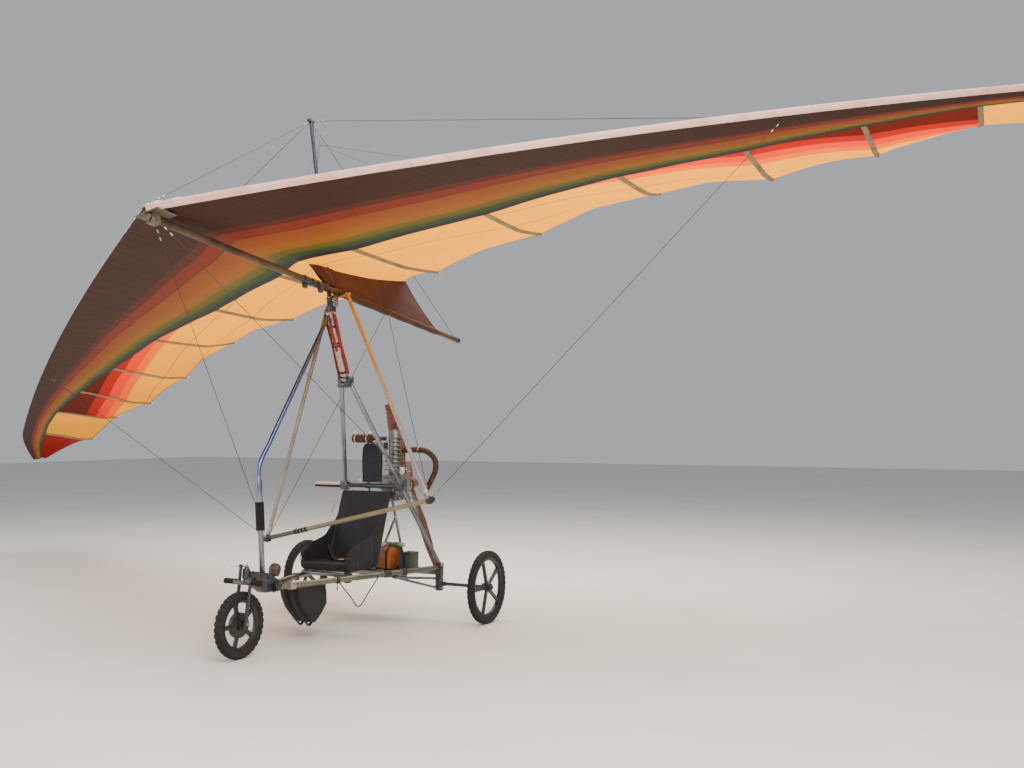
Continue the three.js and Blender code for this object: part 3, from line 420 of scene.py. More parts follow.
# Piping on the cushions' seams, blacker than their cloth
PIPING = Weave("black_piping", "090a0c", "131417", 0.6, 0.0, 20, 0.5, 1.0, 0.05, "34302a", 0.15)
# Black coated nylon on the bag
BAG_CLOTH = Weave("black_coated_nylon", "090a0c", "111216", 0.6, 0.0, 50, 0.5, 1.0, 0.05, "2c2824", 0.15)
# Faded green and white groundsheet rolled on the tank
ROLL_CLOTH = Graded("faded_green_groundsheet", "e9e7df", "cfd2c6", 0.75, 0.0, 40, 0.5, 1.2, 0.1, "6f6a58", 0.2,
                    axis=0, low_m=-0.04, high_m=0.22,
                    tints=((0.0, "8d9a7c"), (0.3, "d6d6c6"), (0.45, "5c7356"), (0.7, "4f6650"), (1.0, "b9bba8")))
# Brown sailcloth of the keel pocket
POCKET_CLOTH = Weave("brown_sailcloth", "42190f", "34130c", 0.7, 0.0, 90, 0.5, 1.0, 0.05, "2c1711", 0.25)
# Tan batten pockets: doubled cloth, duller than the sail
TAN_CLOTH = Weave("tan_pocket_cloth", "96825f", "7d6a49", 0.75, 0.0, 120, 0.5, 1.0, 0.05, "4f3f2e", 0.2)
# Brown cloth wrapped over the leading edge, coloured grey-pink as painted sunlight on its top
LEADING_CLOTH = Weave("pale_rose_sailcloth", "cfa59c", "bd8f86", 0.65, 0.0, 160, 0.5, 1.0, 0.05, "7d5f56", 0.15)
# Black cable sheath
SHEATH = Finish("black_pvc_sheath", "0f0f10", "1b1b1c", 0.5, 0.0, 20, 0.5, 0.8, 0.02, "4c463c", 0.2)

# The lower surface runs from brown at the leading edge to navy at its own edge, in shares of its chord; its colours
# are darkened to their look in the wing's shade, painted shade over the real bands
LOWER_SAIL = SailCloth("dark_banded_sailcloth", (
    (0.0, "3c1c12"), (0.355, "3c1c12"), (0.365, "5c2011"), (0.415, "5c2011"), (0.425, "842812"), (0.52, "842812"),
    (0.54, "944a14"), (0.68, "9a5814"), (0.72, "9c6416"), (0.79, "946616"), (0.81, "6c6218"), (0.865, "5e5e1a"),
    (0.885, "365220"), (0.935, "2c4624"), (0.95, "262936"), (1.0, "262936")), 0.12, blended=True, thread="3c2214",
    seams_m=(0.358, 0.42, 0.53))
# The upper surface runs from maroon to yellow, in metres behind the leading edge, with two plain panels at the tip
UPPER_SAIL = SailCloth("bright_banded_sailcloth", (
    (0.0, "52150a"), (0.66, "9c160a"), (0.78, "dd2c05"), (0.90, "e25c05"), (1.04, "ea7c03"), (1.18, "ec9800")), 0.6,
    panels=((4.196, "ec9800"), (4.93, "86160a")), seams_m=(1.25, 1.57))


# Modelling


class Start(Enum):
    """Primitives that a piece is shaped from."""

    CYLINDER = "cylinder"
    CUBE = "cube"
    PLANE = "plane"


class Parts(Enum):
    """What an edit-mode step selects."""

    VERT = "verts"
    EDGE = "edges"
    FACE = "faces"


def only(*objects: bpy.types.Object) -> None:
    """Leaves just these objects selected, the first one active."""
    bpy.ops.object.select_all(action="DESELECT")
    for obj in objects:
        obj.select_set(True)
    if objects:
        bpy.context.view_layer.objects.active = objects[0]


def primitive(kind: Start, name: str, **sizes: object) -> bpy.types.Object:
    """Adds a primitive at the origin, to be shaped there and then placed.

    Args:
        kind: the primitive.
        name: the piece's name.
        sizes: its sizes in metres, as its operator names them.

    Returns:
        The new object.
    """
    only()
    getattr(bpy.ops.mesh, f"primitive_{kind.value}_add")(**sizes)
    obj = bpy.context.object
    obj.name = obj.data.name = name
    return obj


def shape(obj: bpy.types.Object, parts: Parts, chosen: Callable, *steps: Callable[[], object]) -> bpy.types.Object:
    """Selects elements in edit mode by a rule and runs operators on them.

    Args:
        obj: the mesh object.
        parts: what the rule chooses among.
        chosen: the rule, given a bmesh element.
        steps: calls of mesh or transform operators, run in order.

    Returns:
        The same object.
    """
    only(obj)
    bpy.ops.object.mode_set(mode="EDIT")
    bpy.ops.mesh.select_mode(type=parts.name)
    bpy.ops.mesh.select_all(action="DESELECT")
    mesh = bmesh.from_edit_mesh(obj.data)
    for part in getattr(mesh, parts.value):
        part.select_set(bool(chosen(part)))
    bmesh.update_edit_mesh(obj.data)
    for step in steps:
        step()
    bpy.ops.object.mode_set(mode="OBJECT")
    return obj


def every(_part: object) -> bool:
    """Chooses all elements."""
    return True


def modify(obj: bpy.types.Object, kind: str, **settings: object) -> bpy.types.Object:
    """Adds a modifier with its settings and applies it."""
    only(obj)
    modifier = obj.modifiers.new(kind.lower(), kind)
    for key, value in settings.items():
        setattr(modifier, key, value)
    bpy.ops.object.modifier_apply(modifier=modifier.name)
    return obj


def smooth(obj: bpy.types.Object, degrees: float = 35) -> bpy.types.Object:
    """Shades the faces smooth up to an angle."""
    only(obj)
    bpy.ops.object.shade_smooth_by_angle(angle=math.radians(degrees))
    return obj


def joined(name: str, objects: Sequence[bpy.types.Object]) -> bpy.types.Object:
    """Joins objects into one piece of that name."""
    only(*objects)
    if len(objects) > 1:
        bpy.ops.object.join()
    objects[0].name = objects[0].data.name = name
    return objects[0]


def towards(start: Vector, end: Vector) -> Matrix:
    """The turn and move that take an upright mesh, centred on the origin, to between two points."""
    turn = (end - start).to_track_quat("Z", "Y").to_matrix().to_4x4()
    return Matrix.Translation((start + end) / 2) @ turn


def stood(foot: Vector, axis: Vector) -> Matrix:
    """The turn and move that stand an upright mesh on a foot, along an axis."""
    return Matrix.Translation(foot) @ axis.to_track_quat("Z", "Y").to_matrix().to_4x4()


def linked(name: str, data: bpy.types.ID) -> bpy.types.Object:
    """Puts a mesh, a curve, a light or a camera into the scene as an object."""
    obj = bpy.data.objects.new(name, data)
    bpy.context.collection.objects.link(obj)
    return obj


def grid(name: str, corners: Sequence[Vector], wide: int, order: Sequence[int] = (0, 1, 2, 3)) -> bpy.types.Object:
    """A cloth of four-sided faces over rows of corners.

    Args:
        name: the piece's name.
        corners: its corners in metres, row by row.
        wide: how many corners a row has.
        order: the order of each face's corners, numbered along its row and back along the next.

    Returns:
        The cloth.
    """
    firsts = [row * wide + k for row in range(len(corners) // wide - 1) for k in range(wide - 1)]
    mesh = bpy.data.meshes.new(name)
    squares = [(k, k + 1, k + wide + 1, k + wide) for k in firsts]
    mesh.from_pydata(corners, [], [[square[i] for i in order] for square in squares])
    return linked(name, mesh)


def round_curve(name: str, points: Sequence[Vector], radius_mm: float, steps: int, sides: int) -> bpy.types.Object:
    """A round bar along a smooth line, as a curve.

    Args:
        name: the piece's name.
        points: points that its centre line passes through, in metres.
        radius_mm: its radius.
        steps: steps from one point to the next.
        sides: faces round a quarter of it.

    Returns:
        The curve's object.
    """
    curve = bpy.data.curves.new(name, "CURVE")
    curve.dimensions = "3D"
    curve.resolution_u = steps
    curve.bevel_depth = radius_mm / 1000
    curve.bevel_resolution = sides
    curve.use_fill_caps = True
    spline = curve.splines.new("BEZIER")
    spline.bezier_points.add(len(points) - 1)
    for knot, point in zip(spline.bezier_points, points):
        knot.co = point
        knot.handle_left_type = knot.handle_right_type = "AUTO"
    return linked(name, curve)


def copies(name: str, model: bpy.types.Object, places: Sequence[Matrix]) -> bpy.types.Object:
    """Copies one model to many places, each with its own mesh, and joins them.

    Args:
        name: the joined piece's name.
        model: the object to copy, which goes into the piece.
        places: a matrix for each copy.

    Returns:
        The joined piece.
    """
    made = []
    for place in places:
        only(model)
        bpy.ops.object.duplicate(linked=False)
        copy = bpy.context.object
        copy.data.transform(place)
        made.append(copy)
    bpy.data.objects.remove(model)
    return joined(name, made)


def dress(obj: bpy.types.Object, finish: Finish | SailCloth, body: Body, slot: str, *nodes: str) -> bpy.types.Object:
    """Gives a piece its material and its body, and hides the nodes that it stands for.

    Args:
        obj: the piece.
        finish: its finish, or None where its faces have their materials already.
        body: the body that it rides on.
        slot: the record's material slot; not used.
        nodes: the CAD nodes that it replaces.

    Returns:
        The same object.
    """
    if finish:
        obj.data.materials.clear()
        obj.data.materials.append(finish.material())
    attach(obj, body.value)
    if nodes:
        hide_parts(*nodes)
    LOG.info("%s on %s", obj.name, body.value)
    return obj


def tube(name: str, start: Vector, end: Vector, radius_mm: float, wall_mm: float = 2.0, sides: int = 40,
         deep_mm: float = 14.0) -> bpy.types.Object:
    """An open-ended tube with turned-in rims.

    Args:
        name: the piece's name.
        start: one end of its centre line, in metres.
        end: the other end.
        radius_mm: its outer radius.
        wall_mm: its wall, which the ends show.
        sides: faces round it.
        deep_mm: how deep its ends are hollow.

    Returns:
        The tube.
    """
    length = (end - start).length
    obj = primitive(Start.CYLINDER, name, radius=radius_mm / 1000, depth=length, vertices=sides)
    shape(obj, Parts.FACE, lambda f: abs(f.normal.z) > 0.9,
          lambda: bpy.ops.mesh.bevel(offset=wall_mm / 3000, segments=2),
          lambda: bpy.ops.mesh.inset(thickness=wall_mm / 1500),
          lambda: bpy.ops.mesh.extrude_faces_move(TRANSFORM_OT_shrink_fatten={"value": -deep_mm / 1000}))
    obj.data.transform(towards(start, end))
    return smooth(obj)


def turned(name: str, profile: Sequence[tuple[float, float]], start: Vector, axis: Vector,
           sides: int = 32) -> bpy.types.Object:
    """A piece turned on a lathe: a profile spun about an axis.

    Args:
        name: the piece's name.
        profile: its points as radius and distance along the axis, in millimetres.
        start: where the axis begins, in metres.
        axis: its direction.
        sides: steps of the spin.

    Returns:
        The turned piece.
    """
    obj = primitive(Start.PLANE, name, size=0.001)
    shape(obj, Parts.VERT, every, lambda: bpy.ops.mesh.merge(type="CENTER"))
    radius, height = profile[0]
    shape(obj, Parts.VERT, every, lambda: bpy.ops.transform.translate(value=(radius / 1000, 0, height / 1000)))
    for (r0, h0), (r1, h1) in zip(profile, profile[1:]):
        move = ((r1 - r0) / 1000, 0, (h1 - h0) / 1000)
        tip = Vector((r0 / 1000, 0, h0 / 1000))
        shape(obj, Parts.VERT, lambda v, tip=tip: (v.co - tip).length < 1e-6 and len(v.link_edges) < 2,
              lambda move=move: bpy.ops.mesh.extrude_region_move(TRANSFORM_OT_translate={"value": move}))
    shape(obj, Parts.EDGE, every,
          lambda: bpy.ops.mesh.spin(steps=sides, angle=2 * math.pi, center=(0, 0, 0), axis=(0, 0, 1)))
    shape(obj, Parts.VERT, every, lambda: bpy.ops.mesh.remove_doubles(threshold=1e-5),
          lambda: bpy.ops.mesh.normals_make_consistent(inside=False))
    obj.data.transform(stood(start, axis))
    return smooth(obj)


def ring(inner_mm: float, outer_mm: float, wide_mm: float, start: Vector, axis: Vector, sides: int = 28,
         bevel_mm: float = 1) -> bpy.types.Object:
    """A ring round a tube.

    Args:
        inner_mm: the radius inside it.
        outer_mm: its outer radius.
        wide_mm: its width along the axis.
        start: where it begins, in metres.
        axis: its axis.
        sides: steps round it.
        bevel_mm: how far its rims slope.

    Returns:
        The ring.
    """
    profile = [(inner_mm, 0), (outer_mm, bevel_mm), (outer_mm, wide_mm - bevel_mm), (inner_mm, wide_mm)]
    return turned("ring", profile, start, axis, sides)


def block(name: str, size: Point, centre: Vector, bevel_mm: float, turn: Matrix | None = None,
          segments: int = 3) -> bpy.types.Object:
    """A block with rounded edges.

    Args:
        name: the piece's name.
        size: its sides in millimetres.
        centre: its middle, in metres.
        bevel_mm: the radius of its edges.
        turn: how it is turned.
        segments: faces across each rounded edge.

    Returns:
        The block.
    """
    obj = primitive(Start.CUBE, name, size=1.0, scale=[side / 1000 for side in size])
    shape(obj, Parts.EDGE, every,
          lambda: bpy.ops.mesh.bevel(offset=bevel_mm / 1000, segments=segments, affect="EDGES"))
    obj.data.transform(Matrix.Translation(centre) @ (turn or Matrix.Identity(4)))
    return smooth(obj)


def hose(name: str, points: Sequence[Vector], radius_mm: float, sides: int = 4) -> bpy.types.Object:
    """A round hose, wire or bent pipe along a smooth line, as a mesh.

    Args:
        name: the piece's name.
        points: points that its centre line passes through, in metres.
        radius_mm: its radius.
        sides: faces round a quarter of it.

    Returns:
        The hose.
    """
    only(round_curve(name, points, radius_mm, 10, sides))
    bpy.ops.object.convert(target="MESH")
    return smooth(bpy.context.object, 50)


def ribbon(name: str, points: Sequence[Vector], width: Vector, thick_mm: float = 1.6) -> bpy.types.Object:
    """A flat strap that follows a line.

    Args:
        name: the piece's name.
        points: its centre line, in metres.
        width: half its width, as a vector.
        thick_mm: how thick it is.

    Returns:
        The strap.
    """
    obj = grid(name, [p + width * side for p in points for side in (-1, 0, 1)], 3)
    modify(obj, "SOLIDIFY", thickness=thick_mm / 1000, offset=0)
    modify(obj, "BEVEL", width=thick_mm / 4000, segments=1)
    return smooth(obj, 50)


def refined(node: str, bevel_mm: float) -> bpy.types.Object:
    """A copy of a CAD node with its doubles merged and its edges rounded.

    Args:
        node: the CAD node.
        bevel_mm: the radius of its edges.

    Returns:
        The copy.
    """
    only(frame["nodes"][node])
    bpy.ops.object.duplicate(linked=False)
    obj = bpy.context.object
    for key in [k for k in obj.keys() if k.startswith("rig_")]:
        del obj[key]
    obj.parent = None
    obj.name = obj.data.name = node + "_shaped"
    shape(obj, Parts.VERT, every, lambda: bpy.ops.mesh.remove_doubles(threshold=1e-5),
          lambda: bpy.ops.mesh.dissolve_limited(angle_limit=math.radians(1)),
          lambda: bpy.ops.mesh.tris_convert_to_quads())
    modify(obj, "BEVEL", width=bevel_mm / 1000, segments=2, limit_method="ANGLE", angle_limit=math.radians(32))
    return smooth(obj, 32)


def bolts(name: str, places: Sequence[tuple[Vector, Vector]], across_mm: float) -> bpy.types.Object:
    """Hexagon bolt heads on washers.

    Args:
        name: the joined piece's name.
        places: each bolt's foot, in metres, and the direction that its head points.
        across_mm: the head's width.

    Returns:
        The joined piece.
    """
    head = primitive(Start.CYLINDER, name, radius=across_mm / 1800, depth=across_mm / 1600, vertices=6,
                     location=(0, 0, across_mm / 2300))
    shape(head, Parts.EDGE, lambda e: all(v.co.z > 0 for v in e.verts) and abs(e.calc_face_angle(0)) > 1.2,
          lambda: bpy.ops.mesh.bevel(offset=across_mm / 14000, segments=2, affect="EDGES"))
    washer = primitive(Start.CYLINDER, name + "_washer", radius=across_mm / 1300, depth=0.0016, vertices=18)
    model = smooth(joined(name, [head, washer]))
    return copies(name, model, [stood(foot, axis) for foot, axis in places])


def bolted(name: str, places: Sequence[tuple[Vector, Vector]], body: Body = Body.TRIKE, across_mm: float = 13,
           finish: Finish | None = None) -> None:
    """Makes bolts and dresses them, zinc-plated where no finish is given.

    Args:
        name: the joined piece's name.
        places: each bolt's foot, in metres, and the direction that its head points.
        body: the body that they ride on.
        across_mm: the heads' width.
        finish: another finish.
    """
    dress(bolts(name, places, across_mm), finish or ZINC, body, "steel_fitting")


def swell(obj: bpy.types.Object, sewn: Callable[[Vector], bool], cap_mm: float, voxel_mm: float) -> bpy.types.Object:
    """Puffs a cushion up between its seams by a short cloth run.

    Args:
        obj: the closed cushion at the size that it may fill.
        sewn: says whether a point, in trike millimetres, is on a seam and so stays sunk.
        cap_mm: how far below that size the cloth starts, and the furthest that it swells.
        voxel_mm: the size of its cloth's faces.

    Returns:
        The cushion.
    """
    modify(obj, "REMESH", mode="VOXEL", voxel_size=voxel_mm / 1000)
    shape(obj, Parts.VERT, every, lambda: bpy.ops.transform.shrink_fatten(value=-cap_mm / 1000),
          lambda: bpy.ops.mesh.vertices_smooth(factor=0.5, repeat=2))
    starts = [vertex.co.copy() for vertex in obj.data.vertices]
    seams = obj.vertex_groups.new(name="seams")
    seams.add([i for i, co in enumerate(starts) if sewn((co - NOSE_CONTACT) * 1000)], 1.0, "ADD")
    only(obj)
    cloth = obj.modifiers.new("cloth", "CLOTH")
    cloth.settings.use_pressure = True
    cloth.settings.uniform_pressure_force = CUSHION_PRESSURE
    cloth.settings.effector_weights.gravity = 0
    cloth.settings.vertex_group_mass = seams.name
    for step in range(1, CLOTH_FRAMES + 1):
        bpy.context.scene.frame_set(step)
    bpy.ops.object.modifier_apply(modifier=cloth.name)
    bpy.context.scene.frame_set(1)
    for vertex, start in zip(obj.data.vertices, starts):
        move = vertex.co - start
        if move.length > cap_mm / 1000:
            vertex.co = start + move.normalized() * cap_mm / 1000
    obj.vertex_groups.clear()
    modify(obj, "SUBSURF", levels=1)
    return smooth(obj, 60)


# Stage


@dataclass
class Studio:
    """The floor, the lights and the camera at the photograph's place."""

    eye: Point = (4304, -4919, 1390)
    pitch_deg: float = 2.29
    heading_deg: float = 26.745
    lens_mm: float = 36.914
    sky: float = 0.55
    aim: Point = (0, 900, 1300)
    # each light's name, trike point, side in metres, watts and colour
    lamps: tuple[tuple[str, Point, float, float, str], ...] = (
        ("key", (5200, -3800, 5200), 4.0, 620, "fff6e8"),
        ("overhead", (200, 1600, 6400), 9.0, 1400, "fff4e0"),
        ("fill", (-5200, -4200, 2600), 4.0, 200, "eef3ff"))

    def build(self) -> None:
        """Makes the camera, the floor and the soft lights."""
        camera = bpy.data.cameras.new("camera")
        camera.lens = self.lens_mm
        camera.sensor_width = 36
        camera.clip_end = 100
        holder = linked("camera", camera)
        holder.location = at(*self.eye)
        holder.rotation_euler = (math.radians(90 + self.pitch_deg), 0, math.radians(self.heading_deg))
        bpy.context.scene.camera = holder
        floor = primitive(Start.PLANE, "floor", size=60)
        paper = Finish("pale_floor", "d8d6d2", "d2d0cc", 0.7, patch_mm=900, grain_mm=4, dirt_share=0.0)
        floor.data.materials.append(paper.material())
        world = bpy.data.worlds.new("studio")
        world.use_nodes = True
        world.node_tree.nodes["Background"].inputs[0].default_value = linear("e8ecf2")
        world.node_tree.nodes["Background"].inputs[1].default_value = self.sky
        bpy.context.scene.world = world
        for lamp in self.lamps:
            self.lamp(*lamp)

    def lamp(self, name: str, place: Point, size: float, power: float, colour: str) -> None:
        """Adds a square soft light that faces the trike.

        Args:
            name: its name.
            place: its trike point in millimetres.
            size: its side in metres.
            power: its power in watts.
            colour: its sRGB hex colour.
        """
        light = bpy.data.lights.new(name, "AREA")
        light.size = size
        light.energy = power
        light.color = linear(colour)[:3]
        holder = linked(name, light)
        holder.location = at(*place)
        holder.rotation_euler = (at(*self.aim) - holder.location).to_track_quat("-Z", "Y").to_euler()


# Wing


@dataclass(frozen=True)
class Section:
    """One station of the sail: its place along the span, its edges and its shape, in millimetres."""

    a: float
    lower_b: float
    trail_b: float
    port_c: float
    starboard_c: float
    camber: float


@dataclass
class Wing:
    """The sail's shape over its keel and spars, with the places of its battens."""

    nose: float = 1674
    spar: float = 26
    roll_high: float = 52
    tip_from: float = 4950
    keel_radius: float = 21
    sections: tuple[Section, ...] = (
        Section(0, -340, 1020, 320, 320, 25), Section(60, -310, 1005, 312, 312, 28),
        Section(307, -155, 985, 262, 262, 44), Section(730, 0, 960, 252, 250, 52),
        Section(1152, 160, 1092, 267, 256, 50), Section(1585, 280, 1132, 294, 243, 52),
        Section(2018, 415, 1380, 336, 292, 50), Section(2400, 560, 1386, 256, 195, 52),
        Section(2790, 715, 1592, 208, 160, 50), Section(3150, 850, 1722, 224, 134, 50),
        Section(3504, 1000, 1848, 200, 88, 46), Section(3850, 1160, 1985, 226, 108, 44),
        Section(4196, 1335, 2070, 240, 115, 40), Section(4585, 1570, 2275, 165, 82, 36),
        Section(4930, 1820, 2425, 130, 67, 32), Section(5250, 2030, 2390, 100, 60, 26),
        Section(5480, 2220, 2300, 60, 40, 16))
    battens: tuple[float, ...] = (307, 1152, 2018, 2790, 3504, 4196, 4930)
    billow: float = 16

    def lead_b(self, a: float) -> float:
        """Where the leading edge is, out at a."""
        return -self.nose + 0.5756 * a + 1.62e-5 * a * a + 5.6e-4 * max(0.0, a - self.tip_from) ** 2

    def plane_c(self, a: float) -> float:
        """How high the wing's plane is, out at a."""
        return 0.0845 * a - 5.3e-6 * a * a - 3.3e-4 * max(0.0, a - self.tip_from) ** 2

    def section(self, a: float) -> Section:
        """The sail's section at any place along the span, straight between the stations.

        Args:
            a: distance from the keel in millimetres.

        Returns:
            The section there.
        """
        rows = self.sections
        k = max(i for i, row in enumerate(rows[:-1]) if row.a <= a or i == 0)
        share = (a - rows[k].a) / (rows[k + 1].a - rows[k].a)
        mixed = [a]
        for key in ("lower_b", "trail_b", "port_c", "starboard_c", "camber"):
            v0, v1 = getattr(rows[k], key), getattr(rows[k + 1], key)
            mixed.append(v0 + (v1 - v0) * share)
        return Section(*mixed)

    def top(self, row: Section, share: float, side: Side = Side.PORT) -> float:
        """The upper skin's height over the keel at a share of the chord."""
        trail_c = row.port_c if side is Side.PORT else row.starboard_c
        arch = row.camber * math.sin(math.pi * min(1, share * 1.15 + 0.08)) ** 0.9
        rise = self.plane_c(row.a) + trail_c * share**2.2 + self.keel_radius + self.spar * (1 - share)
        return rise + arch

    def puff(self, a: float, share: float) -> float:
        """How far the cloth bellies up between two battens."""
        stops = (0.0, *self.battens, self.sections[-1].a)
        for low, high in zip(stops, stops[1:]):
            if low <= a <= high:
                return self.billow * math.sin(math.pi * (a - low) / (high - low)) * min(1, share * 1.6)
        return 0.0


@dataclass
class SailHalf:
    """One half of the sail: a single cloth round the leading edge, its battens, hems and patches."""

    wing: Wing
    side: Side
    span_steps: int = 150
    lower_steps: int = 26
    nose_steps: int = 10
    upper_steps: int = 44
    # the cloth's first place beside the keel, its reach from there, and how much closer its points are near the keel
    root: float = 0.3
    reach: float = 5479.5
    closer: float = 1.12
    # how far it stands before the spar, and how far below the upper skin the lower one ends
    stand_off: float = 8
    lower_gap: float = 11
    # the lower skin's sag, the height and the reach of the gathers at the root, and the batten pockets' gap
    sag: float = 6
    gather: float = 20
    gather_reach: float = 380
    pocket_gap: float = 5
    cut_m: tuple[float, float] = (4.9, 6.2)

    def profile(self, a: float) -> list[tuple[float, float, float, float]]:
        """The cloth's section from the lower surface's edge, round the nose, to the trailing edge.

        Args:
            a: distance from the keel in millimetres.

        Returns:
            For each point its b, its c, its pattern coordinate and its distance from the trailing edge.
        """
        wing = self.wing
        row = wing.section(a)
        front = wing.lead_b(a)
        chord = row.trail_b - front
        base = wing.plane_c(a) + wing.keel_radius + 4
        lower_share = (row.lower_b - front) / chord
        lower_c = wing.top(row, lower_share, self.side) - self.lower_gap
        gather = self.gather * math.exp(-a / self.gather_reach) * min(1, a / 30)
        points = []
        for i in range(self.lower_steps + 1):
            t = 1 - i / self.lower_steps
            sag = -self.sag * math.sin(math.pi * t) * min(1, a / 400)
            ripple = 3.5 * noise.noise(Vector((a / 260, t * 3, 5))) * t
            b = front - self.stand_off + t * (row.lower_b - front + self.stand_off)
            points.append((b, base + (lower_c - base) * t + sag + ripple, t, 9.0))
        nose_top = base + wing.roll_high
        for i in range(1, self.nose_steps):
            rise = i / self.nose_steps
            belly = 6 * math.sin(math.pi * rise)
            wrinkle = gather * noise.noise(Vector((a / 34, rise * 3, 2))) * math.sin(math.pi * rise)
            b = front - self.stand_off - belly - wrinkle
            points.append((b, base + wing.roll_high * rise + wrinkle, 0.001, 9.0))
        for i in range(self.upper_steps + 1):
            share = (i / self.upper_steps) ** 1.25
            c = wing.top(row, share, self.side) + wing.puff(a, share)
            c += (nose_top - wing.top(row, 0, self.side)) * max(0.0, 1 - share / 0.3) ** 2
            c += 2.5 * noise.noise(Vector((a / 170, share * 2.5, 9))) * share
            c += gather * noise.noise(Vector((a / 34, share * 30, 4))) * max(0.0, 1 - share * 6)
            b = front + share * chord
            points.append((b, c, max(0.002, (b - front) / 1000), (row.trail_b - b) / 1000))
        return points

    def stations(self) -> list[float]:
        """The places along the span where the cloth has points, closer near the keel."""
        return [self.root + self.reach * (i / self.span_steps) ** self.closer for i in range(self.span_steps + 1)]

    def build(self) -> None:
        """Makes the cloth and dresses it."""
        name = "sail_cloth_" + self.side.word
        stations = self.stations()
        rows = [self.profile(a) for a in stations]
        count = len(rows[0])
        sign = self.side.value
        corners = [on_wing(sign * a, b, c) for a, row in zip(stations, rows) for b, c, _, _ in row]
        obj = grid(name, corners, count, (0, 1, 2, 3)[::sign])
        mesh = obj.data
        cloth = mesh.uv_layers.new(name="cloth")
        edges = mesh.uv_layers.new(name="edges")
        # The nose roll takes the leading cloth, whose pale rose is painted sunlight; on starboard it begins seven
        # steps further round the nose, and the steps before it keep the lower cloth.
        hidden = 0 if self.side is Side.PORT else 7
        roll = self.lower_steps + hidden, self.lower_steps + self.nose_steps + 3
        for face in mesh.polygons:
            column = min(v % count for v in face.vertices)
            face.material_index = 0 if column < roll[0] else 1 if column < roll[1] else 2
            for loop in face.loop_indices:
                r, i = divmod(mesh.loops[loop].vertex_index, count)
                _, _, along, trail = rows[r][i]
                cloth.data[loop].uv = (along, stations[r] / 1000)
                edges.data[loop].uv = (trail, stations[r] / 1000)
        smooth(obj, 60)
        for finish in (LOWER_SAIL, LEADING_CLOTH, UPPER_SAIL):
            obj.data.materials.append(finish.material())
        dress(obj, None, Body.WING, "sail_cloth", "sail_" + self.side.word)
        self.build_battens()

    def build_battens(self) -> None:
        """Makes the batten pockets under the upper skin, with the battens' tips."""
        wing = self.wing
        pockets = []
        tips = []
        for a in wing.battens:
            row = wing.section(a)
            front = wing.lead_b(a)
            chord = row.trail_b - front
            start = (row.lower_b - front) / chord - 0.02
            line = []
            for i in range(15):
                share = start + (1 - start) * i / 14
                c = wing.top(row, share, self.side) - self.pocket_gap
                line.append(on_wing(self.side.value * a, front + share * chord, c))
            width = WING_TURN @ Vector((0.018, 0, 0.0015))
            pockets.append(ribbon("pocket", line, width, 7))
            end = on_wing(self.side.value * a, row.trail_b + 26, wing.top(row, 1, self.side) - 3)
            tips.append(tube("tip", line[-1], end, 7, 2, 16, 4))
        dress(joined("batten_pockets_" + self.side.word, pockets), TAN_CLOTH, Body.WING, "pocket_cloth")
        # The tips take the leading cloth, whose pale rose is painted sunlight.
        dress(joined("batten_tips_" + self.side.word, tips), LEADING_CLOTH, Body.WING, "alloy_tube")


# Wheels


@dataclass
class Wheel:
    """A moulded wheel with five spokes and its tyre."""

    name: str
    body: Body
    radius: float
    width: float
    bead: float
    lugs: int
    lug_deep: float
    # the tyre's wall: shares of its depth and of half its width
    wall: tuple[tuple[float, float], ...] = ((0, 0.62), (0.2, 0.84), (0.45, 0.98), (0.7, 0.97))

    def build(self) -> None:
        """Makes the tyre with its tread and dresses the rim."""
        hub = JOINTS[self.name + "_wheel_spin"]
        half = self.width / 2
        deep = self.radius - self.bead
        outer = self.radius - self.lug_deep
        wall = [(self.bead + deep * up, half * out) for up, out in self.wall]
        wall += [(outer - deep * 0.08, half * 0.78), (outer, half * 0.4)]
        inward = [(radius, -out) for radius, out in wall]
        carcass = turned(self.name + "_carcass", [*inward, *wall[::-1], inward[0]], hub, PORTWARD, 72)
        lug = block("lug", (self.width * 0.3, self.radius * 4.2 / self.lugs, self.lug_deep + 3),
                    Vector((0, 0, 0)), 1.4, segments=2)
        places = []
        for i in range(self.lugs):
            turn = Matrix.Rotation(2 * math.pi * i / self.lugs, 4, "X")
            for row in (-1, 0, 1):
                lean = Matrix.Rotation(math.radians(26 * row), 4, "Y")
                shift = (row * half * 0.62, 0, outer + self.lug_deep / 2 - 1.5 - abs(row) * deep * 0.06)
                places.append(Matrix.Translation(hub) @ turn @ Matrix.Translation(Vector(shift) / 1000) @ lean)
        tread = copies(self.name + "_tread", lug, places)
        tyre = joined(self.name + "_tyre_shaped", [carcass, tread])
        dress(tyre, RUBBER, self.body, "tyre_rubber", self.name + "_tyre")
        dress(refined(self.name + "_rim", 1.6), NYLON, self.body, "mag_wheel", self.name + "_rim")


WHEELS = (
    Wheel("front", Body.FRONT_WHEEL, radius=200, width=52, bead=150, lugs=32, lug_deep=5),
    Wheel("rear_port", Body.REAR_PORT_WHEEL, radius=255, width=50, bead=206, lugs=40, lug_deep=3),
    Wheel("rear_starboard", Body.REAR_STARBOARD_WHEEL, radius=255, width=50, bead=206, lugs=40, lug_deep=3))


# Trike


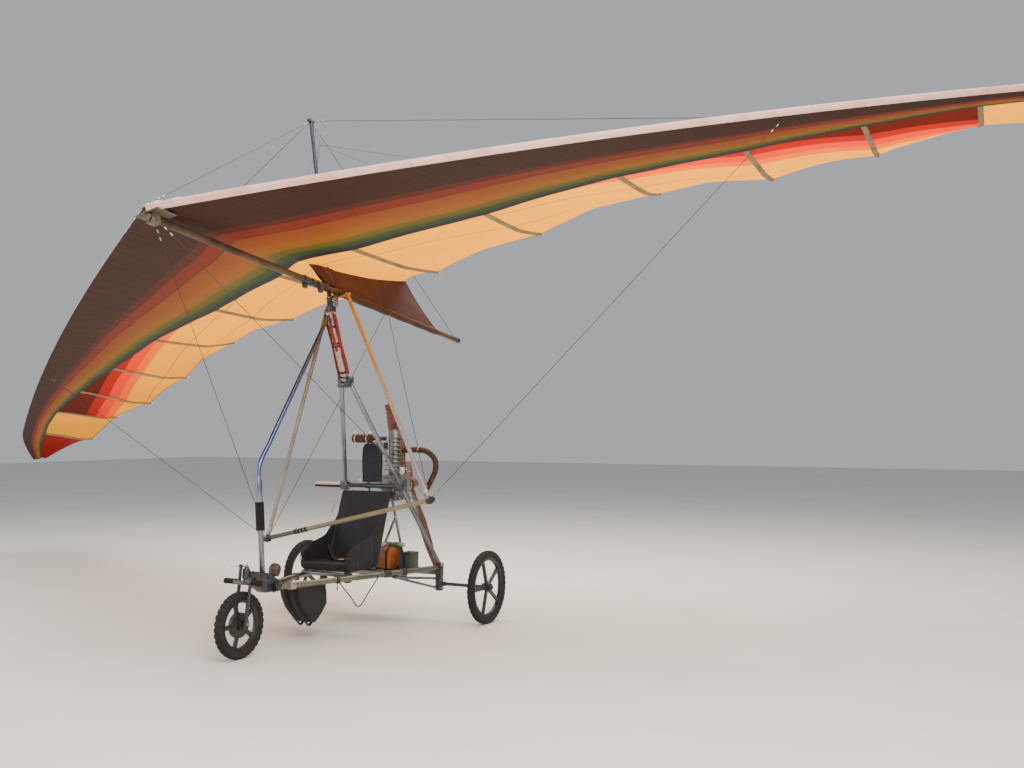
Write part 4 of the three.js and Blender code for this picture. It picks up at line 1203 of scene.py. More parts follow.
@dataclass
class Frame:
    """The trike's tubes, brackets and fittings."""

    wheelbase: float = 1660
    nose: Point = (46, 262, 392)
    tail: Point = (402, 1660, 368)
    leg_head: Point = (34, 1055, 1700)
    leg_foot: Point = (396, 1660, 398)
    tube_radius: float = 19
    leg_radius: float = 16
    # places along the side tubes: sleeves, saddles with their sizes, the rose clamp, and bolts under the saddles
    sleeves: tuple[float, ...] = (470, 545, 660, 905, 985, 1105)
    saddles: tuple[tuple[float, Point], ...] = ((745, (46, 22, 47)), (1165, (44, 58, 46)), (1320, (44, 40, 45)))
    clamp_y: float = 388
    clamp: Point = (52, 44, 48)
    hanger_y: float = 745
    saddle_bolts: tuple[float, ...] = (1150, 1180, 1320)
    # the rear corners
    post: Point = (46, 46, 195)
    post_z: float = 302.5
    axle_z: float = 255
    brace_y: float = 1240.6
    brace_ends: tuple[float, ...] = (222, 292)
    side_bolts: tuple[tuple[float, float], ...] = ((-12, 380), (12, 380), (0, 300), (-8, 222))
    aft_bolts: tuple[float, ...] = (368, 255)

    def side_point(self, side: Side, y: float) -> Vector:
        """A point on the middle line of a side tube."""
        start, end = (at(side.value * x, *rest) for x, *rest in (self.nose, self.tail))
        return start.lerp(end, (y - self.nose[1]) / (self.tail[1] - self.nose[1]))

    def leg_point(self, side: Side, z: float) -> Vector:
        """A point on the middle line of a mast leg."""
        start, end = (at(side.value * x, *rest) for x, *rest in (self.leg_foot, self.leg_head))
        return start.lerp(end, (z - self.leg_foot[2]) / (self.leg_head[2] - self.leg_foot[2]))

    def build(self) -> None:
        """Makes the tubes, their sleeves and clamps, and the rear corners."""
        for side in Side:
            start, end = self.side_point(side, self.nose[1]), self.side_point(side, self.wheelbase - 4)
            name = "side_tube_" + side.word
            dress(tube(name + "_shaped", start, end, self.tube_radius), SIDE_ALLOY, Body.TRIKE, "alloy_tube", name)
            name = "mast_leg_" + side.word
            foot, head = self.leg_point(side, self.leg_foot[2]), self.leg_point(side, self.leg_head[2])
            dress(tube(name + "_shaped", foot, head, self.leg_radius), ALLOY, Body.TRIKE, "alloy_tube", name)
            self.build_fittings(side)
            self.build_corner(side)

    def build_fittings(self, side: Side) -> None:
        """Makes a side tube's sleeves, its clamps with their bolts, and the leg's saddle.

        Args:
            side: which side.
        """
        along = (self.side_point(side, 900) - self.side_point(side, 800)).normalized()
        radius = self.tube_radius
        sleeves = [ring(radius + 0.1, radius + 1.6, 6, self.side_point(side, y), along, bevel_mm=0.8)
                   for y in self.sleeves]
        dress(joined("tube_sleeves_" + side.word, sleeves), SIDE_ALLOY, Body.TRIKE, "alloy_tube")
        turn = along.to_track_quat("Y", "Z").to_matrix().to_4x4()
        clamp = block("rose_clamp_" + side.word, self.clamp, self.side_point(side, self.clamp_y), 7, turn)
        dress(clamp, ANODISED, Body.TRIKE, "anodised_tube")
        saddles = [block("saddle", size, self.side_point(side, y), 5, turn) for y, size in self.saddles]
        dress(joined("tube_saddles_" + side.word, saddles), ENAMEL, Body.TRIKE, "dark_bracket")
        below = self.side_point(side, self.hanger_y) - UP * 0.05
        bolt = tube("hanging_bolt_" + side.word, below - UP * 0.018, below + UP * 0.03, 4, 1, 14, 2)
        dress(bolt, ZINC, Body.TRIKE, "steel_fitting")
        out = PORTWARD * side.value
        feet = [(self.side_point(side, y) - UP * 0.0235, -UP) for y in self.saddle_bolts]
        feet += [(self.side_point(side, self.clamp_y) + out * 0.027, out), (below - UP * 0.012, -UP)]
        bolted("tube_bolts_" + side.word, feet)

    def build_corner(self, side: Side) -> None:
        """Makes a rear corner: its post, stub axle, braces and bolts.

        Args:
            side: which side.
        """
        sign = side.value
        x, y, z = sign * self.tail[0], self.wheelbase, self.axle_z
        root = self.side_point(side, self.brace_y) - UP * 0.031
        post = [block("post", self.post, at(x, y, self.post_z), 4),
                block("foot", (34, 44, 20), root + UP * 0.008, 3),
                tube("stub_axle", at(x, y, z), at(sign * 753, y, z), 12.5),
                tube("axle_pin", at(sign * 730, y, z), at(sign * 834, y, z), 9, 1.5, 24, 3),
                ring(12.6, 17, 14, at(sign * 440, y, z), PORTWARD)]
        name = "rear_corner_" + side.word
        dress(joined(name + "_shaped", post), ENAMEL, Body.TRIKE, "dark_bracket", name)
        braces = [tube("brace", root, at(x, y - 10, end), 9, 1.5, 24, 4) for end in self.brace_ends]
        dress(joined("corner_braces_" + side.word, braces), ALLOY, Body.TRIKE, "alloy_tube")
        out = PORTWARD * sign
        feet = [(at(x + sign * 23.5, y + dy, height), out) for dy, height in self.side_bolts]
        feet += [(at(x, y + 23.5, height), AFT) for height in self.aft_bolts]
        feet += [(at(sign * 826, y, z), out)]
        bolted("corner_bolts_" + side.word, feet, across_mm=15)


# Cord


@dataclass
class HangingCable:
    """The loose loop of cable between two clips on the port side tube."""

    frame: Frame
    radius: float = 4
    slack: float = 1.01
    route: tuple[Point, ...] = (
        (730, 32, 2.6), (730, 32, -8), (741, 32, -26), (762, 31, -50), (788, 30, -78), (816, 31, -108),
        (840, 32, -138), (858, 32, -166), (878, 32, -184), (900, 32, -184), (921, 32, -168), (946, 31, -138),
        (975, 30, -104), (1006, 30, -68), (1034, 31, -36), (1050, 32, -14), (1050, 32, 2.6))

    def build(self) -> None:
        points = [self.frame.side_point(Side.PORT, y) + Vector((out, 0, up)) / 1000 for y, out, up in self.route]
        obj = round_curve("cable_loop", points, self.radius, 8, 6)
        dress(obj, SHEATH, Body.TRIKE, "cable_sheath", "hanging_cable")


# Fittings, seats, engine and rigging


@dataclass
class Nose:
    """The nose bracket's bolts and brown dome, and the fork's hardware."""

    crown: Point = (0, 46.7, 445.9)
    lean: float = math.radians(8)
    # bolts on the bracket's cheeks as y and z, the dome's profile as radius and height, and the dome's foot
    cheek_bolts: tuple[tuple[float, float], ...] = ((86, 496), (150, 470), (212, 452), (160, 420))
    dome: tuple[tuple[float, float], ...] = (
        (0.2, 0), (26, 0), (33, 8), (38, 34), (37, 52), (30, 68), (18, 77), (0.2, 80))
    dome_foot: Point = (-8, 322, 452)
    # the pegs, in the fork's own frame
    peg_y: float = -6
    peg_z: float = 4
    peg_end: tuple[tuple[float, float], ...] = (
        (8.4, 0), (15, 0), (16.5, 1.5), (16.5, 2.6), (13, 3.2), (11.5, 0.8), (8.4, 0.8), (8.4, 0))

    def on_fork(self, x: float, y: float, z: float) -> Vector:
        """A point in the fork's own frame, in millimetres, as a frame point in metres."""
        return at(*self.crown) + Matrix.Rotation(-self.lean, 3, "X") @ Vector((x, y, z)) / 1000

    def build(self) -> None:
        """Makes the bracket's and the fork's small pieces."""
        sides = [(s, PORTWARD * s) for s in (-1, 1)]
        feet = [(at(s * 34, y, z), out) for s, out in sides for y, z in self.cheek_bolts]
        feet += [(at(s * 71, 294, 392), out) for s, out in sides]
        feet += [(at(s * 40, 294, 415), UP) for s, _ in sides]
        bolted("nose_bolts", feet, across_mm=15, finish=POST)
        cup = turned("nose_cup", self.dome, at(*self.dome_foot), Vector((0, 0.25, 1)))
        dress(cup, CUP_BROWN, Body.TRIKE, "dark_bracket")
        stem = tube("cup_stem", at(-8, 308, 408), at(-8, 324, 460), 9, 1.5, 20, 3)
        dress(stem, ENAMEL, Body.TRIKE, "dark_bracket")
        nuts = [(self.on_fork(s * 66, -12, -250), out) for s, out in sides]
        nuts += [(self.on_fork(s * 55, y, 0), out) for s, out in sides for y in (-30, 8)]
        nuts += [(self.on_fork(0, 0, 98), Matrix.Rotation(-self.lean, 3, "X") @ UP)]
        bolted("fork_nuts", nuts, Body.FORK, 17)
        ends = [turned("peg_end", self.peg_end, self.on_fork(s * 148.2, self.peg_y, self.peg_z), out, 28)
                for s, out in sides]
        dress(joined("peg_ends", ends), OLIVE, Body.FORK, "foam_grip")
        collars = [ring(8.2, 14, 9, self.on_fork(s * 51.5, self.peg_y, self.peg_z), out, bevel_mm=0.6)
                   for s, out in sides]
        dress(joined("peg_collars", collars), ZINC, Body.FORK, "steel_fitting")
        tread = tube("pedal_sleeve", self.on_fork(-92, -36, 98), self.on_fork(-26, -36, 98), 6.6, 1, 20, 1.5)
        dress(tread, CAP_WHITE, Body.FORK, "mag_wheel")


@dataclass
class Seating:
    """The bucket seat, its piping and belt, the headrest and the bag, sewn and swelled."""

    wall: float = 191
    rim: tuple[tuple[float, float], ...] = (
        (815, 490), (833, 545), (900, 582), (994, 606), (1090, 631), (1162, 692), (1234, 753), (1270, 842),
        (1303, 928))
    # the seat's seams: two long ones at x, cross channels at y on its floor and sides and at z on its back
    long_x: float = 92
    floor_seams: tuple[float, ...] = (900, 985, 1070)
    back_seams: tuple[float, ...] = (560, 660, 760, 860)
    side_seams: tuple[float, ...] = (950, 1120)
    back_from: float = 1120
    side_from: float = 176
    head_outline: tuple[tuple[float, float], ...] = (
        (-62, 984), (-64, 1205), (-56, 1240), (-36, 1262), (36, 1262), (56, 1240), (64, 1205), (62, 984))
    strap_route: tuple[tuple[float, float], ...] = (
        (744, 372), (757, 300), (762, 224), (704, 152), (660, 118), (622, 94), (572, 143), (503, 214), (460, 290),
        (442, 366))
    strap_x: float = 34
    belt_route: tuple[Point, ...] = (
        (186, 1130, 560), (150, 1115, 505), (110, 1080, 478), (70, 1050, 473), (30, 1030, 472))
    roll: tuple[tuple[float, float], ...] = (
        (0.2, 0), (11, 0.5), (15, 4), (16, 30), (17.5, 60), (15.6, 92), (17.5, 130), (16.5, 170), (15, 196),
        (10, 199), (0.2, 200))

    def build(self) -> None:
        seat = swell(refined("seat", 6.0), self.seat_sewn, 5, 8)
        dress(seat, SEAT_CLOTH, Body.TRIKE, "seat_cloth", "seat")
        head = swell(refined("headrest", 10.0), self.headrest_sewn, 9, 5)
        dress(head, SEAT_CLOTH, Body.TRIKE, "seat_cloth", "headrest")
        bag = swell(refined("stowage_bag", 14.0), self.bag_sewn, 10, 7)
        dress(bag, BAG_CLOTH, Body.TRIKE, "bag_cloth", "stowage_bag")
        self.build_piping()
        self.build_belt()
        self.build_roll()

    def seat_sewn(self, place: Vector) -> bool:
        """Whether a point is on the seat's cross channels or its two long seams."""
        if abs(place.x) > self.side_from:
            return any(abs(place.y - y) < 5 for y in self.side_seams)
        long_seam = abs(abs(place.x) - self.long_x) < 5
        if place.y < self.back_from:
            return long_seam or any(abs(place.y - y) < 5 for y in self.floor_seams)
        return long_seam or any(abs(place.z - z) < 5 for z in self.back_seams)

    @staticmethod
    def headrest_sewn(place: Vector) -> bool:
        """Whether a point is on the headrest's edge seams or its cross channel."""
        faces = any(abs(place.y - y) < 4 for y in (1366, 1414))
        return faces and (abs(place.x) > 60 or place.z > 1254) or abs(place.z - 1110) < 4

    def bag_sewn(self, place: Vector) -> bool:
        """Whether a point is on the bag's side seams, its straps or its hem."""
        return abs(abs(place.x) - 78) < 5 or place.z > 350 or abs(abs(place.x) - self.strap_x) < 4

    def build_piping(self) -> None:
        """Makes the cord piping along the seat's rims and round the headrest's faces, and the bag's straps."""
        lines = [[at(s * self.wall, y, z - 3) for y, z in self.rim] for s in (-1, 1)]
        lines += [[at(x, y, z) for x, z in self.head_outline] for y in (1363, 1417)]
        piping = joined("cushion_piping", [hose("piping", line, 3.2, 3) for line in lines])
        dress(piping, PIPING, Body.TRIKE, "seat_cloth")
        routes = [[at(x, y, z) for y, z in self.strap_route] for x in (-self.strap_x, self.strap_x)]
        straps = [ribbon("strap", route, PORTWARD * 0.012, 2) for route in routes]
        bag_straps = dress(joined("bag_straps", straps), BLACK_WEB, Body.TRIKE, "bag_cloth")

    def build_belt(self) -> None:
        """Makes the lap belt that lies on the seat, with its buckle."""
        lines = [[at(s * x, y + (s + 1) * 8, z) for x, y, z in self.belt_route] for s in (-1, 1)]
        pieces = [ribbon("belt", line, Vector((0, 0.02, 0.004)), 2.4) for line in lines]
        belt = dress(joined("lap_belt", pieces), BLACK_WEB, Body.TRIKE, "seat_cloth")
        buckle = block("belt_buckle", (52, 40, 12), at(0, 1036, 475), 4)
        dress(buckle, ZINC, Body.TRIKE, "steel_fitting")

    def build_roll(self) -> None:
        """Makes the rolled groundsheet on the tank."""
        roll = turned("rolled_groundsheet", self.roll, at(-62, 1610, 523), PORTWARD, 28)
        for vertex in roll.data.vertices:
            vertex.co += UP * 0.004 * noise.noise(vertex.co * 34)
        dress(roll, ROLL_CLOTH, Body.TRIKE, "bag_cloth")


@dataclass
class MastHead:
    """The mast with its brackets, webbing, clamps and hang bolt."""

    foot: Point = (0, 1055, 1700)
    top: Point = (0, 866, 2165)
    radius: float = 27
    # each bracket's size, middle and bevel
    brackets: tuple[tuple[Point, Point, float], ...] = (
        ((106, 54, 76), (0, 1059, 1694), 7), ((40, 96, 30), (0, 879.9, 2112.5), 5), ((44, 50, 76), (0, 892, 2203), 6))
    # each pair of bolts' x, y and z
    bolts: tuple[Point, ...] = ((53, 1046, 1712), (53, 1072, 1678), (20, 850, 2112), (20, 905, 2112))
    rings: tuple[float, ...] = (0.12, 0.5, 0.54, 0.78)
    # each run of webbing: out to x, how far forward, and the share of the mast where it starts
    webs: tuple[Point, ...] = ((-34, 6, 0.03), (34, -4, 0.1), (10, 32, 0.45))

    def point(self, share: float, x: float = 0, fore: float = 0) -> Vector:
        """A point beside the mast at a share of its height, out to x and forward by fore, in millimetres."""
        start, end = at(*self.foot), at(*self.top)
        forward = Vector((0, -0.9264, -0.3766))
        return start.lerp(end, share) + Vector((x / 1000, 0, 0)) + forward * fore / 1000

    def web(self, x: float, fore: float, low: float) -> list[Vector]:
        """One run of webbing up the mast, slightly slack."""
        slack = math.copysign(3, x)
        return [self.point(low + (0.97 - low) * k / 10, x + slack * math.sin(k * 0.9), fore) for k in range(11)]

    def build(self) -> None:
        """Makes the mast and everything on it."""
        axis = (at(*self.top) - at(*self.foot)).normalized()
        mast = tube("mast_head_shaped", at(*self.foot), at(*self.top), self.radius, 2.5)
        dress(mast, ANODISED, Body.TRIKE, "anodised_tube", "mast_head")
        blocks = [block("bracket", size, at(*middle), bevel) for size, middle, bevel in self.brackets]
        dress(joined("mast_brackets", blocks), ENAMEL, Body.TRIKE, "dark_bracket")
        feet = [(at(s * x, y, z), PORTWARD * s) for x, y, z in self.bolts for s in (-1, 1)]
        bolted("mast_bolts", feet, across_mm=15)
        rings = [ring(27.2, 30.5, 16, self.point(share), axis, 36) for share in self.rings]
        spiral = [self.point(-0.02 + 0.012 * k, 30 * math.cos(k * 1.05), 30 * math.sin(k * 1.05)) for k in range(16)]
        rings.append(hose("spiral", spiral, 4.2))
        dress(joined("mast_rings", rings), SHEATH, Body.TRIKE, "cable_sheath")
        lines = [self.web(*row) for row in self.webs]
        widths = [Vector((0.003, 0.012, 0)) if abs(x) > self.radius else PORTWARD * 0.012 for x, _, _ in self.webs]
        straps = [ribbon("web", line, width, 3) for line, width in zip(lines, widths)]
        webbing = dress(joined("mast_webbing", straps), RED_WEB, Body.TRIKE, "bag_cloth")
        bolted("hang_bolt_nuts", [(at(s * 36, 898, 2217), PORTWARD * s) for s in (-1, 1)], Body.HANG_BLOCK, 19)


@dataclass
class ControlFrame:
    """The two downtubes, the base bar and their corner fittings."""

    head: Point = (74, 68, -34)
    foot: Point = (626, -144, -1597)
    tube_radius: float = 13
    bar_radius: float = 14
    ferrules: tuple[float, ...] = (0.02, 0.955)
    ties: tuple[float, ...] = (0.18, 0.2, 0.222, 0.245)
    cap: tuple[tuple[float, float], ...] = ((0.2, 0), (13, 0.5), (15.5, 3), (15.5, 18), (12, 20), (0.2, 21))
    tie: tuple[tuple[float, float], ...] = ((14.1, 0), (16.2, 2), (17.2, 9), (16.4, 17), (14.1, 20))

    @staticmethod
    def end(side: Side, point: Point) -> Vector:
        """A downtube's end on one side."""
        return on_wing(side.value * point[0], point[1], point[2])

    def build(self) -> None:
        """Makes the tubes, the corner blocks, the caps and the ties."""
        for side, finish in ((Side.PORT, PORT_TUBE), (Side.STARBOARD, STARBOARD_TUBE)):
            head, corner = self.end(side, self.head), self.end(side, self.foot)
            name = "downtube_" + side.word
            leg = tube(name + "_shaped", head.lerp(corner, 0.006), head.lerp(corner, 0.99), self.tube_radius)
            dress(leg, finish, Body.WING, "alloy_tube", name)
            axis = (corner - head).normalized()
            rings = [ring(13.2, 15.4, 28, head.lerp(corner, share), axis) for share in self.ferrules]
            dress(joined("downtube_ferrules_" + side.word, rings), ANODISED, Body.WING, "anodised_tube")
        ends = self.end(Side.STARBOARD, self.foot), self.end(Side.PORT, self.foot)
        out = (ends[1] - ends[0]).normalized()
        dress(tube("base_bar_shaped", *ends, self.bar_radius), BAR_TUBE, Body.WING, "anodised_tube", "base_bar")
        blocks = [block("corner_block", (34, 40, 44), end, 6, WING_TURN.to_4x4()) for end in ends]
        blocks += [turned("cap", self.cap, end + out * s * 0.015, out * s, 28) for end, s in zip(ends, (-1, 1))]
        dress(joined("corner_blocks", blocks), NYLON, Body.WING, "mag_wheel")
        feet = [(end - WING_UP * 0.0215, -WING_UP) for end in ends]
        feet += [(end + WING_TURN @ Vector((0, -0.0195, 0.008)), -WING_AFT) for end in ends]
        bolted("corner_block_bolts", feet, Body.WING)
        ties = [turned("tape", self.tie, ends[0].lerp(ends[1], share), out, 24) for share in self.ties]
        dress(joined("bar_ties", ties), BLACK_WEB, Body.WING, "bag_cloth")


@dataclass
class Rigging:
    """The stays' swaged ends, the luff lines and the kingpost's fittings."""

    wing: Wing
    luff: tuple[float, ...] = (1152, 2018)
    post_head: Point = (0, -8, 1278)
    bridle: Point = (0, 62, 1130)
    bridle_root: Point = (0, -16, 900)
    ferrules_m: tuple[float, ...] = (0.03, 0.075)
    ferrule: tuple[tuple[float, float], ...] = ((2.1, 0), (4.4, 1), (4.8, 6), (4.4, 21), (2.1, 22))
    post_cap: tuple[tuple[float, float], ...] = (
        (0.2, 14), (9, 14), (14, 10), (16, 0), (16, -14), (13.2, -16), (13.2, -20))
    post_foot: tuple[tuple[float, float], ...] = ((13.2, 60), (17, 52), (19, 12), (24, 2), (13.2, 2))
    keel_cap: tuple[tuple[float, float], ...] = ((0.2, 0), (18, 0.5), (22, 4), (22, 20), (21.2, 22))
    # each clamp on the keel: where it starts and its width; each lug under them: its a and b
    clamps: tuple[tuple[float, float], ...] = ((-322, 60), (-236, 34), (-176, 70), (-92, 30))
    lugs: tuple[tuple[float, float], ...] = ((-9, -292), (8, -146))

    def build(self) -> None:
        """Gives the stays their wire and ends, and adds the luff lines and the fittings."""
        self.build_ferrules()
        self.build_luff_lines()
        cap = [turned("cap", self.post_cap, on_wing(0, -20, 1285), WING_UP, 28),
               turned("foot", self.post_foot, on_wing(0, -30, 21), WING_UP, 28)]
        dress(joined("kingpost_fittings", cap), NYLON, Body.WING, "mag_wheel")
        dress(turned("keel_cap", self.keel_cap, on_wing(0, 1763, 0), -WING_AFT, 28), NYLON, Body.WING, "mag_wheel")
        clamps = [ring(21.3, 27, wide, on_wing(0, b, 0), WING_AFT, 30, 2) for b, wide in self.clamps]
        clamps += [block("clamp_lug", (26, 34, 46), on_wing(a, b, -34), 5, WING_TURN.to_4x4()) for a, b in self.lugs]
        dress(joined("keel_clamps", clamps), ENAMEL, Body.WING, "dark_bracket")
        nose = [(on_wing(a, b, 24.5), WING_UP) for a in (-62, 62) for b in (-1660, -1590)]
        nose += [(on_wing(a, b, -36), -WING_UP) for a in (-12, 12) for b in (-1648, -1624)]
        bolted("nose_plate_bolts", nose, Body.WING, 12)

    def build_ferrules(self) -> None:
        """Dresses the stays and swages two ferrules on each end."""
        places = []
        for node, obj in frame["nodes"].items():
            if "_stay_" not in node:
                continue
            obj.data.materials.clear()
            obj.data.materials.append(WIRE.material())
            start, end = self.ends(obj)
            axis = (end - start).normalized()
            for foot, way in ((start, axis), (end, -axis)):
                places += [stood(foot + way * reach, way) for reach in self.ferrules_m]
        model = turned("wire_ferrules", self.ferrule, Vector((0, 0, 0)), UP, 14)
        dress(copies("wire_ferrules", model, places), ZINC, Body.WING, "steel_fitting")

    def build_luff_lines(self) -> None:
        """Makes the fine lines from the kingpost to the sail's trailing edge."""
        bridle = on_wing(*self.bridle)
        lines = [hose("line", [on_wing(*self.post_head), bridle], 1.3, 2),
                 hose("line", [on_wing(*self.bridle_root), bridle], 1.1, 2)]
        for side in Side:
            for a in self.luff:
                row = self.wing.section(a)
                end = on_wing(side.value * a, row.trail_b - 14, self.wing.top(row, 1, side) + 4)
                lines.append(hose("line", [bridle, end], 1.1, 2))
        dress(joined("luff_lines", lines), WIRE, Body.WING, "steel_fitting")

    @staticmethod
    def ends(obj: bpy.types.Object) -> tuple[Vector, Vector]:
        """The two ends of a straight wire."""
        points = [obj.matrix_world @ vertex.co for vertex in obj.data.vertices]
        far = max(points, key=lambda point: (point - points[0]).length)
        axis = (far - points[0]).normalized()
        points.sort(key=lambda point: point.dot(axis))
        return sum(points[:6], Vector()) / 6, sum(points[-6:], Vector()) / 6


@dataclass
class KeelPocket:
    """The brown cloth between the sail's root and the keel, one sheet with slack folds."""

    wing: Wing
    front: float = 6
    back: float = 1400
    root_from: float = 0.628
    columns: int = 60
    rows: int = 16
    thick: float = 0.0015
    order: tuple[int, ...] = (0, 3, 2, 1)

    def build(self) -> None:
        row = self.wing.section(0)
        lead = self.wing.lead_b(0)
        chord = row.trail_b - lead
        corners = []
        for i in range(self.columns + 1):
            along = i / self.columns
            share = self.root_from + (1 - self.root_from) * along
            top = Vector((0, lead + chord * share, self.wing.top(row, share) - 6.5))
            low = Vector((0, self.front + (self.back - self.front) * along, self.wing.keel_radius + 0.5))
            for j in range(self.rows + 1):
                up = j / self.rows
                place = low.lerp(top, up)
                fold = math.sin(9 * along + 3 * up) * 3 + 7 * noise.noise(Vector((along * 5, up * 2.4, 3)))
                place.x = fold * math.sin(math.pi * up) ** 0.6
                place.y -= 26 * math.sin(math.pi * up) * along**3
                corners.append(on_wing(*place))
        obj = grid("keel_pocket_cloth", corners, self.rows + 1, self.order)
        modify(obj, "SOLIDIFY", thickness=self.thick, offset=0)
        aprons = [self.apron(side) for side in Side]
        hem = [(22.6 + 1.6 * math.sin(k * 1.7), 90 + 65 * k) for k in range(21)]
        sleeve = turned("pocket_sleeve", hem, on_wing(0, 0, 0), WING_AFT, 30)
        modify(sleeve, "SOLIDIFY", thickness=self.thick, offset=0)
        obj = joined("keel_pocket_cloth", [obj, sleeve, *aprons])
        dress(smooth(obj, 60), POCKET_CLOTH, Body.WING, "pocket_cloth", "keel_pocket")

    def apron(self, side: Side) -> bpy.types.Object:
        """The cloth's folded front corner beside the kingpost.

        Args:
            side: which side of the kingpost.

        Returns:
            The corner as a thin sheet.
        """
        row = self.wing.section(0)
        lead = self.wing.lead_b(0)
        corners = []
        for i in range(17):
            along = i / 16
            for j in range(13):
                up = j / 12
                b = (1 - up) * (-70 + 130 * along) + up * (-238 + 298 * along)
                skin = self.wing.top(row, (b - lead) / (row.trail_b - lead)) - 7
                low = self.wing.keel_radius + 2
                out = 5 + 15 * math.sin(math.pi * min(1, along * 1.1)) + 4 * math.sin(11 * along + 5 * up)
                corners.append(on_wing(side.value * max(3, out), b, low + (skin - low) * up))
        obj = grid("apron", corners, 13, self.order)
        return modify(obj, "SOLIDIFY", thickness=self.thick, offset=0)


@dataclass
class PowerUnit:
    """The engine's small pieces, the tank's and the box's fittings, and the levers on the beam."""

    crank: Point = (0, 1700, 945)
    plug: Point = (0, 1680, 1369)
    lead: tuple[Point, ...] = (
        (0, 1680, 1397), (12, 1670, 1415), (60, 1656, 1385), (92, 1660, 1275), (92, 1680, 1135), (84, 1690, 1035))
    plug_cap: tuple[tuple[float, float], ...] = ((0.2, 34), (9, 33), (12, 28), (12, 8), (9, 0), (7, 0))
    carburettor: Point = (-104, 1666, 1236)
    bowl: tuple[tuple[float, float], ...] = ((0.2, 0), (17, 0), (20, 4), (20, 28), (16, 34), (0.2, 34))
    bell: tuple[tuple[float, float], ...] = ((17, 0), (19, 6), (26, 30), (24, 31), (16, 8), (14, 0), (17, 0))
    tip: tuple[tuple[float, float], ...] = ((0.2, 0), (10, 0), (12, 2), (12, 12), (8, 16), (0.2, 17))
    # each band round the silencers: inner and outer radius, width, place and sides
    bands: tuple[tuple[float, float, float, Point, int], ...] = (
        (32.2, 34.6, 12, (-226, 1655, 1296), 32), (32.2, 34.6, 12, (-330, 1655, 1296), 32),
        (21.4, 25, 16, (200, 1693, 1213), 28))
    # straps as y and z over the tank, at two places across, and over the box
    tank_route: tuple[tuple[float, float], ...] = (
        (1492, 352), (1491, 480), (1518, 506), (1580, 507), (1642, 506), (1669, 480), (1668, 352))
    tank_straps: tuple[float, ...] = (-54, 54)
    box_route: tuple[tuple[float, float], ...] = (
        (1533, 352), (1533, 473), (1537, 475), (1663, 475), (1667, 473), (1667, 352))
    box_x: float = 178
    strut_high: Point = (262, 1296, 756)
    strut_low: Point = (-40, 1476, 352)
    # each lever's ends and radius
    levers: tuple[tuple[Point, Point, float], ...] = (
        ((-236, 1390, 981), (-96, 1372, 1000), 5), ((-226, 1382, 962), (-90, 1350, 905), 4),
        ((-250, 1386, 944), (-300, 1300, 760), 5))

    def build(self) -> None:
        """Makes each group of pieces."""
        self.build_plug()
        self.build_carburettor()
        self.build_bolts()
        self.build_straps()
        self.build_strut()
        self.build_levers()

    def build_plug(self) -> None:
        """Makes the plug cap with its stiff lead."""
        cap = turned("plug_cap", self.plug_cap, at(*self.plug), UP, 24)
        lead = hose("plug_lead", [at(*point) for point in self.lead], 3.6)
        dress(joined("plug_cap_and_lead", [cap, lead]), SHEATH, Body.TRIKE, "cable_sheath")

    def build_carburettor(self) -> None:
        """Makes the carburettor, the ignition box, the silencer's tips and its bands."""
        x, y, z = self.carburettor
        pieces = [block("body", (52, 46, 54), at(x, y, z), 8),
                  turned("bowl", self.bowl, at(x, y, z - 54), UP, 28),
                  turned("bell", self.bell, at(x - 26, y, z + 2), -PORTWARD, 28),
                  block("flange", (60, 62, 8), at(x + 30, y + 4, z + 2), 3, Matrix.Rotation(math.pi / 2, 4, "Y"))]
        dress(joined("carburettor", pieces), CASTING, Body.TRIKE, "cast_alloy")
        white = [block("ignition_box", (24, 34, 52), at(92, 1640, 1062), 4)]
        white += [turned("tip", self.tip, at(x, 1655, 1331), UP, 20) for x in (-206, -336)]
        dress(joined("white_fittings", white), CAP_WHITE, Body.TRIKE, "tank_plastic")
        bands = [ring(inner, outer, wide, at(*place), PORTWARD, sides)
                 for inner, outer, wide, place, sides in self.bands]
        dress(joined("silencer_bands", bands), ZINC, Body.TRIKE, "steel_fitting")

    def build_bolts(self) -> None:
        """Makes the bolts of the engine, its mount and the propeller."""
        x, y, z = self.crank
        feet = [(at(s * 60, 1425, 978), UP) for s in (-1, 1)]
        feet += [(at(s * 78, 1450 + 60 * k, 855.5), UP) for s in (-1, 1) for k in range(5)]
        feet += [(at(s * 50, y + 76, z + dz), AFT) for s in (-1, 1) for dz in (-62, 62)]
        bolted("engine_bolts", feet)
        turns = [k * math.pi / 3 for k in range(6)]
        hub = [(at(x + 26 * math.cos(turn), 1939, z + 26 * math.sin(turn)), AFT) for turn in turns]
        bolted("propeller_bolts", hub, Body.PROPELLER, 12)

    def build_straps(self) -> None:
        """Makes the straps over the tank and the box, and the box's lid."""
        straps = [ribbon("strap", [at(x, y, z) for y, z in self.tank_route], PORTWARD * 0.009)
                  for x in self.tank_straps]
        straps.append(ribbon("strap", [at(self.box_x, y, z) for y, z in self.box_route], PORTWARD * 0.011))
        strapping = dress(joined("tank_straps", straps), BLACK_WEB, Body.TRIKE, "bag_cloth")
        lid = [block("lid", (94, 132, 14), at(self.box_x, 1600, 468), 4)]
        lid += [turned("terminal", [(0.2, 0), (7, 0), (7, 9), (0.2, 10)], at(self.box_x + dx, 1560, 475), UP, 16)
                for dx in (-26, 26)]
        dress(joined("box_lid", lid), NYLON, Body.TRIKE, "box_paint")

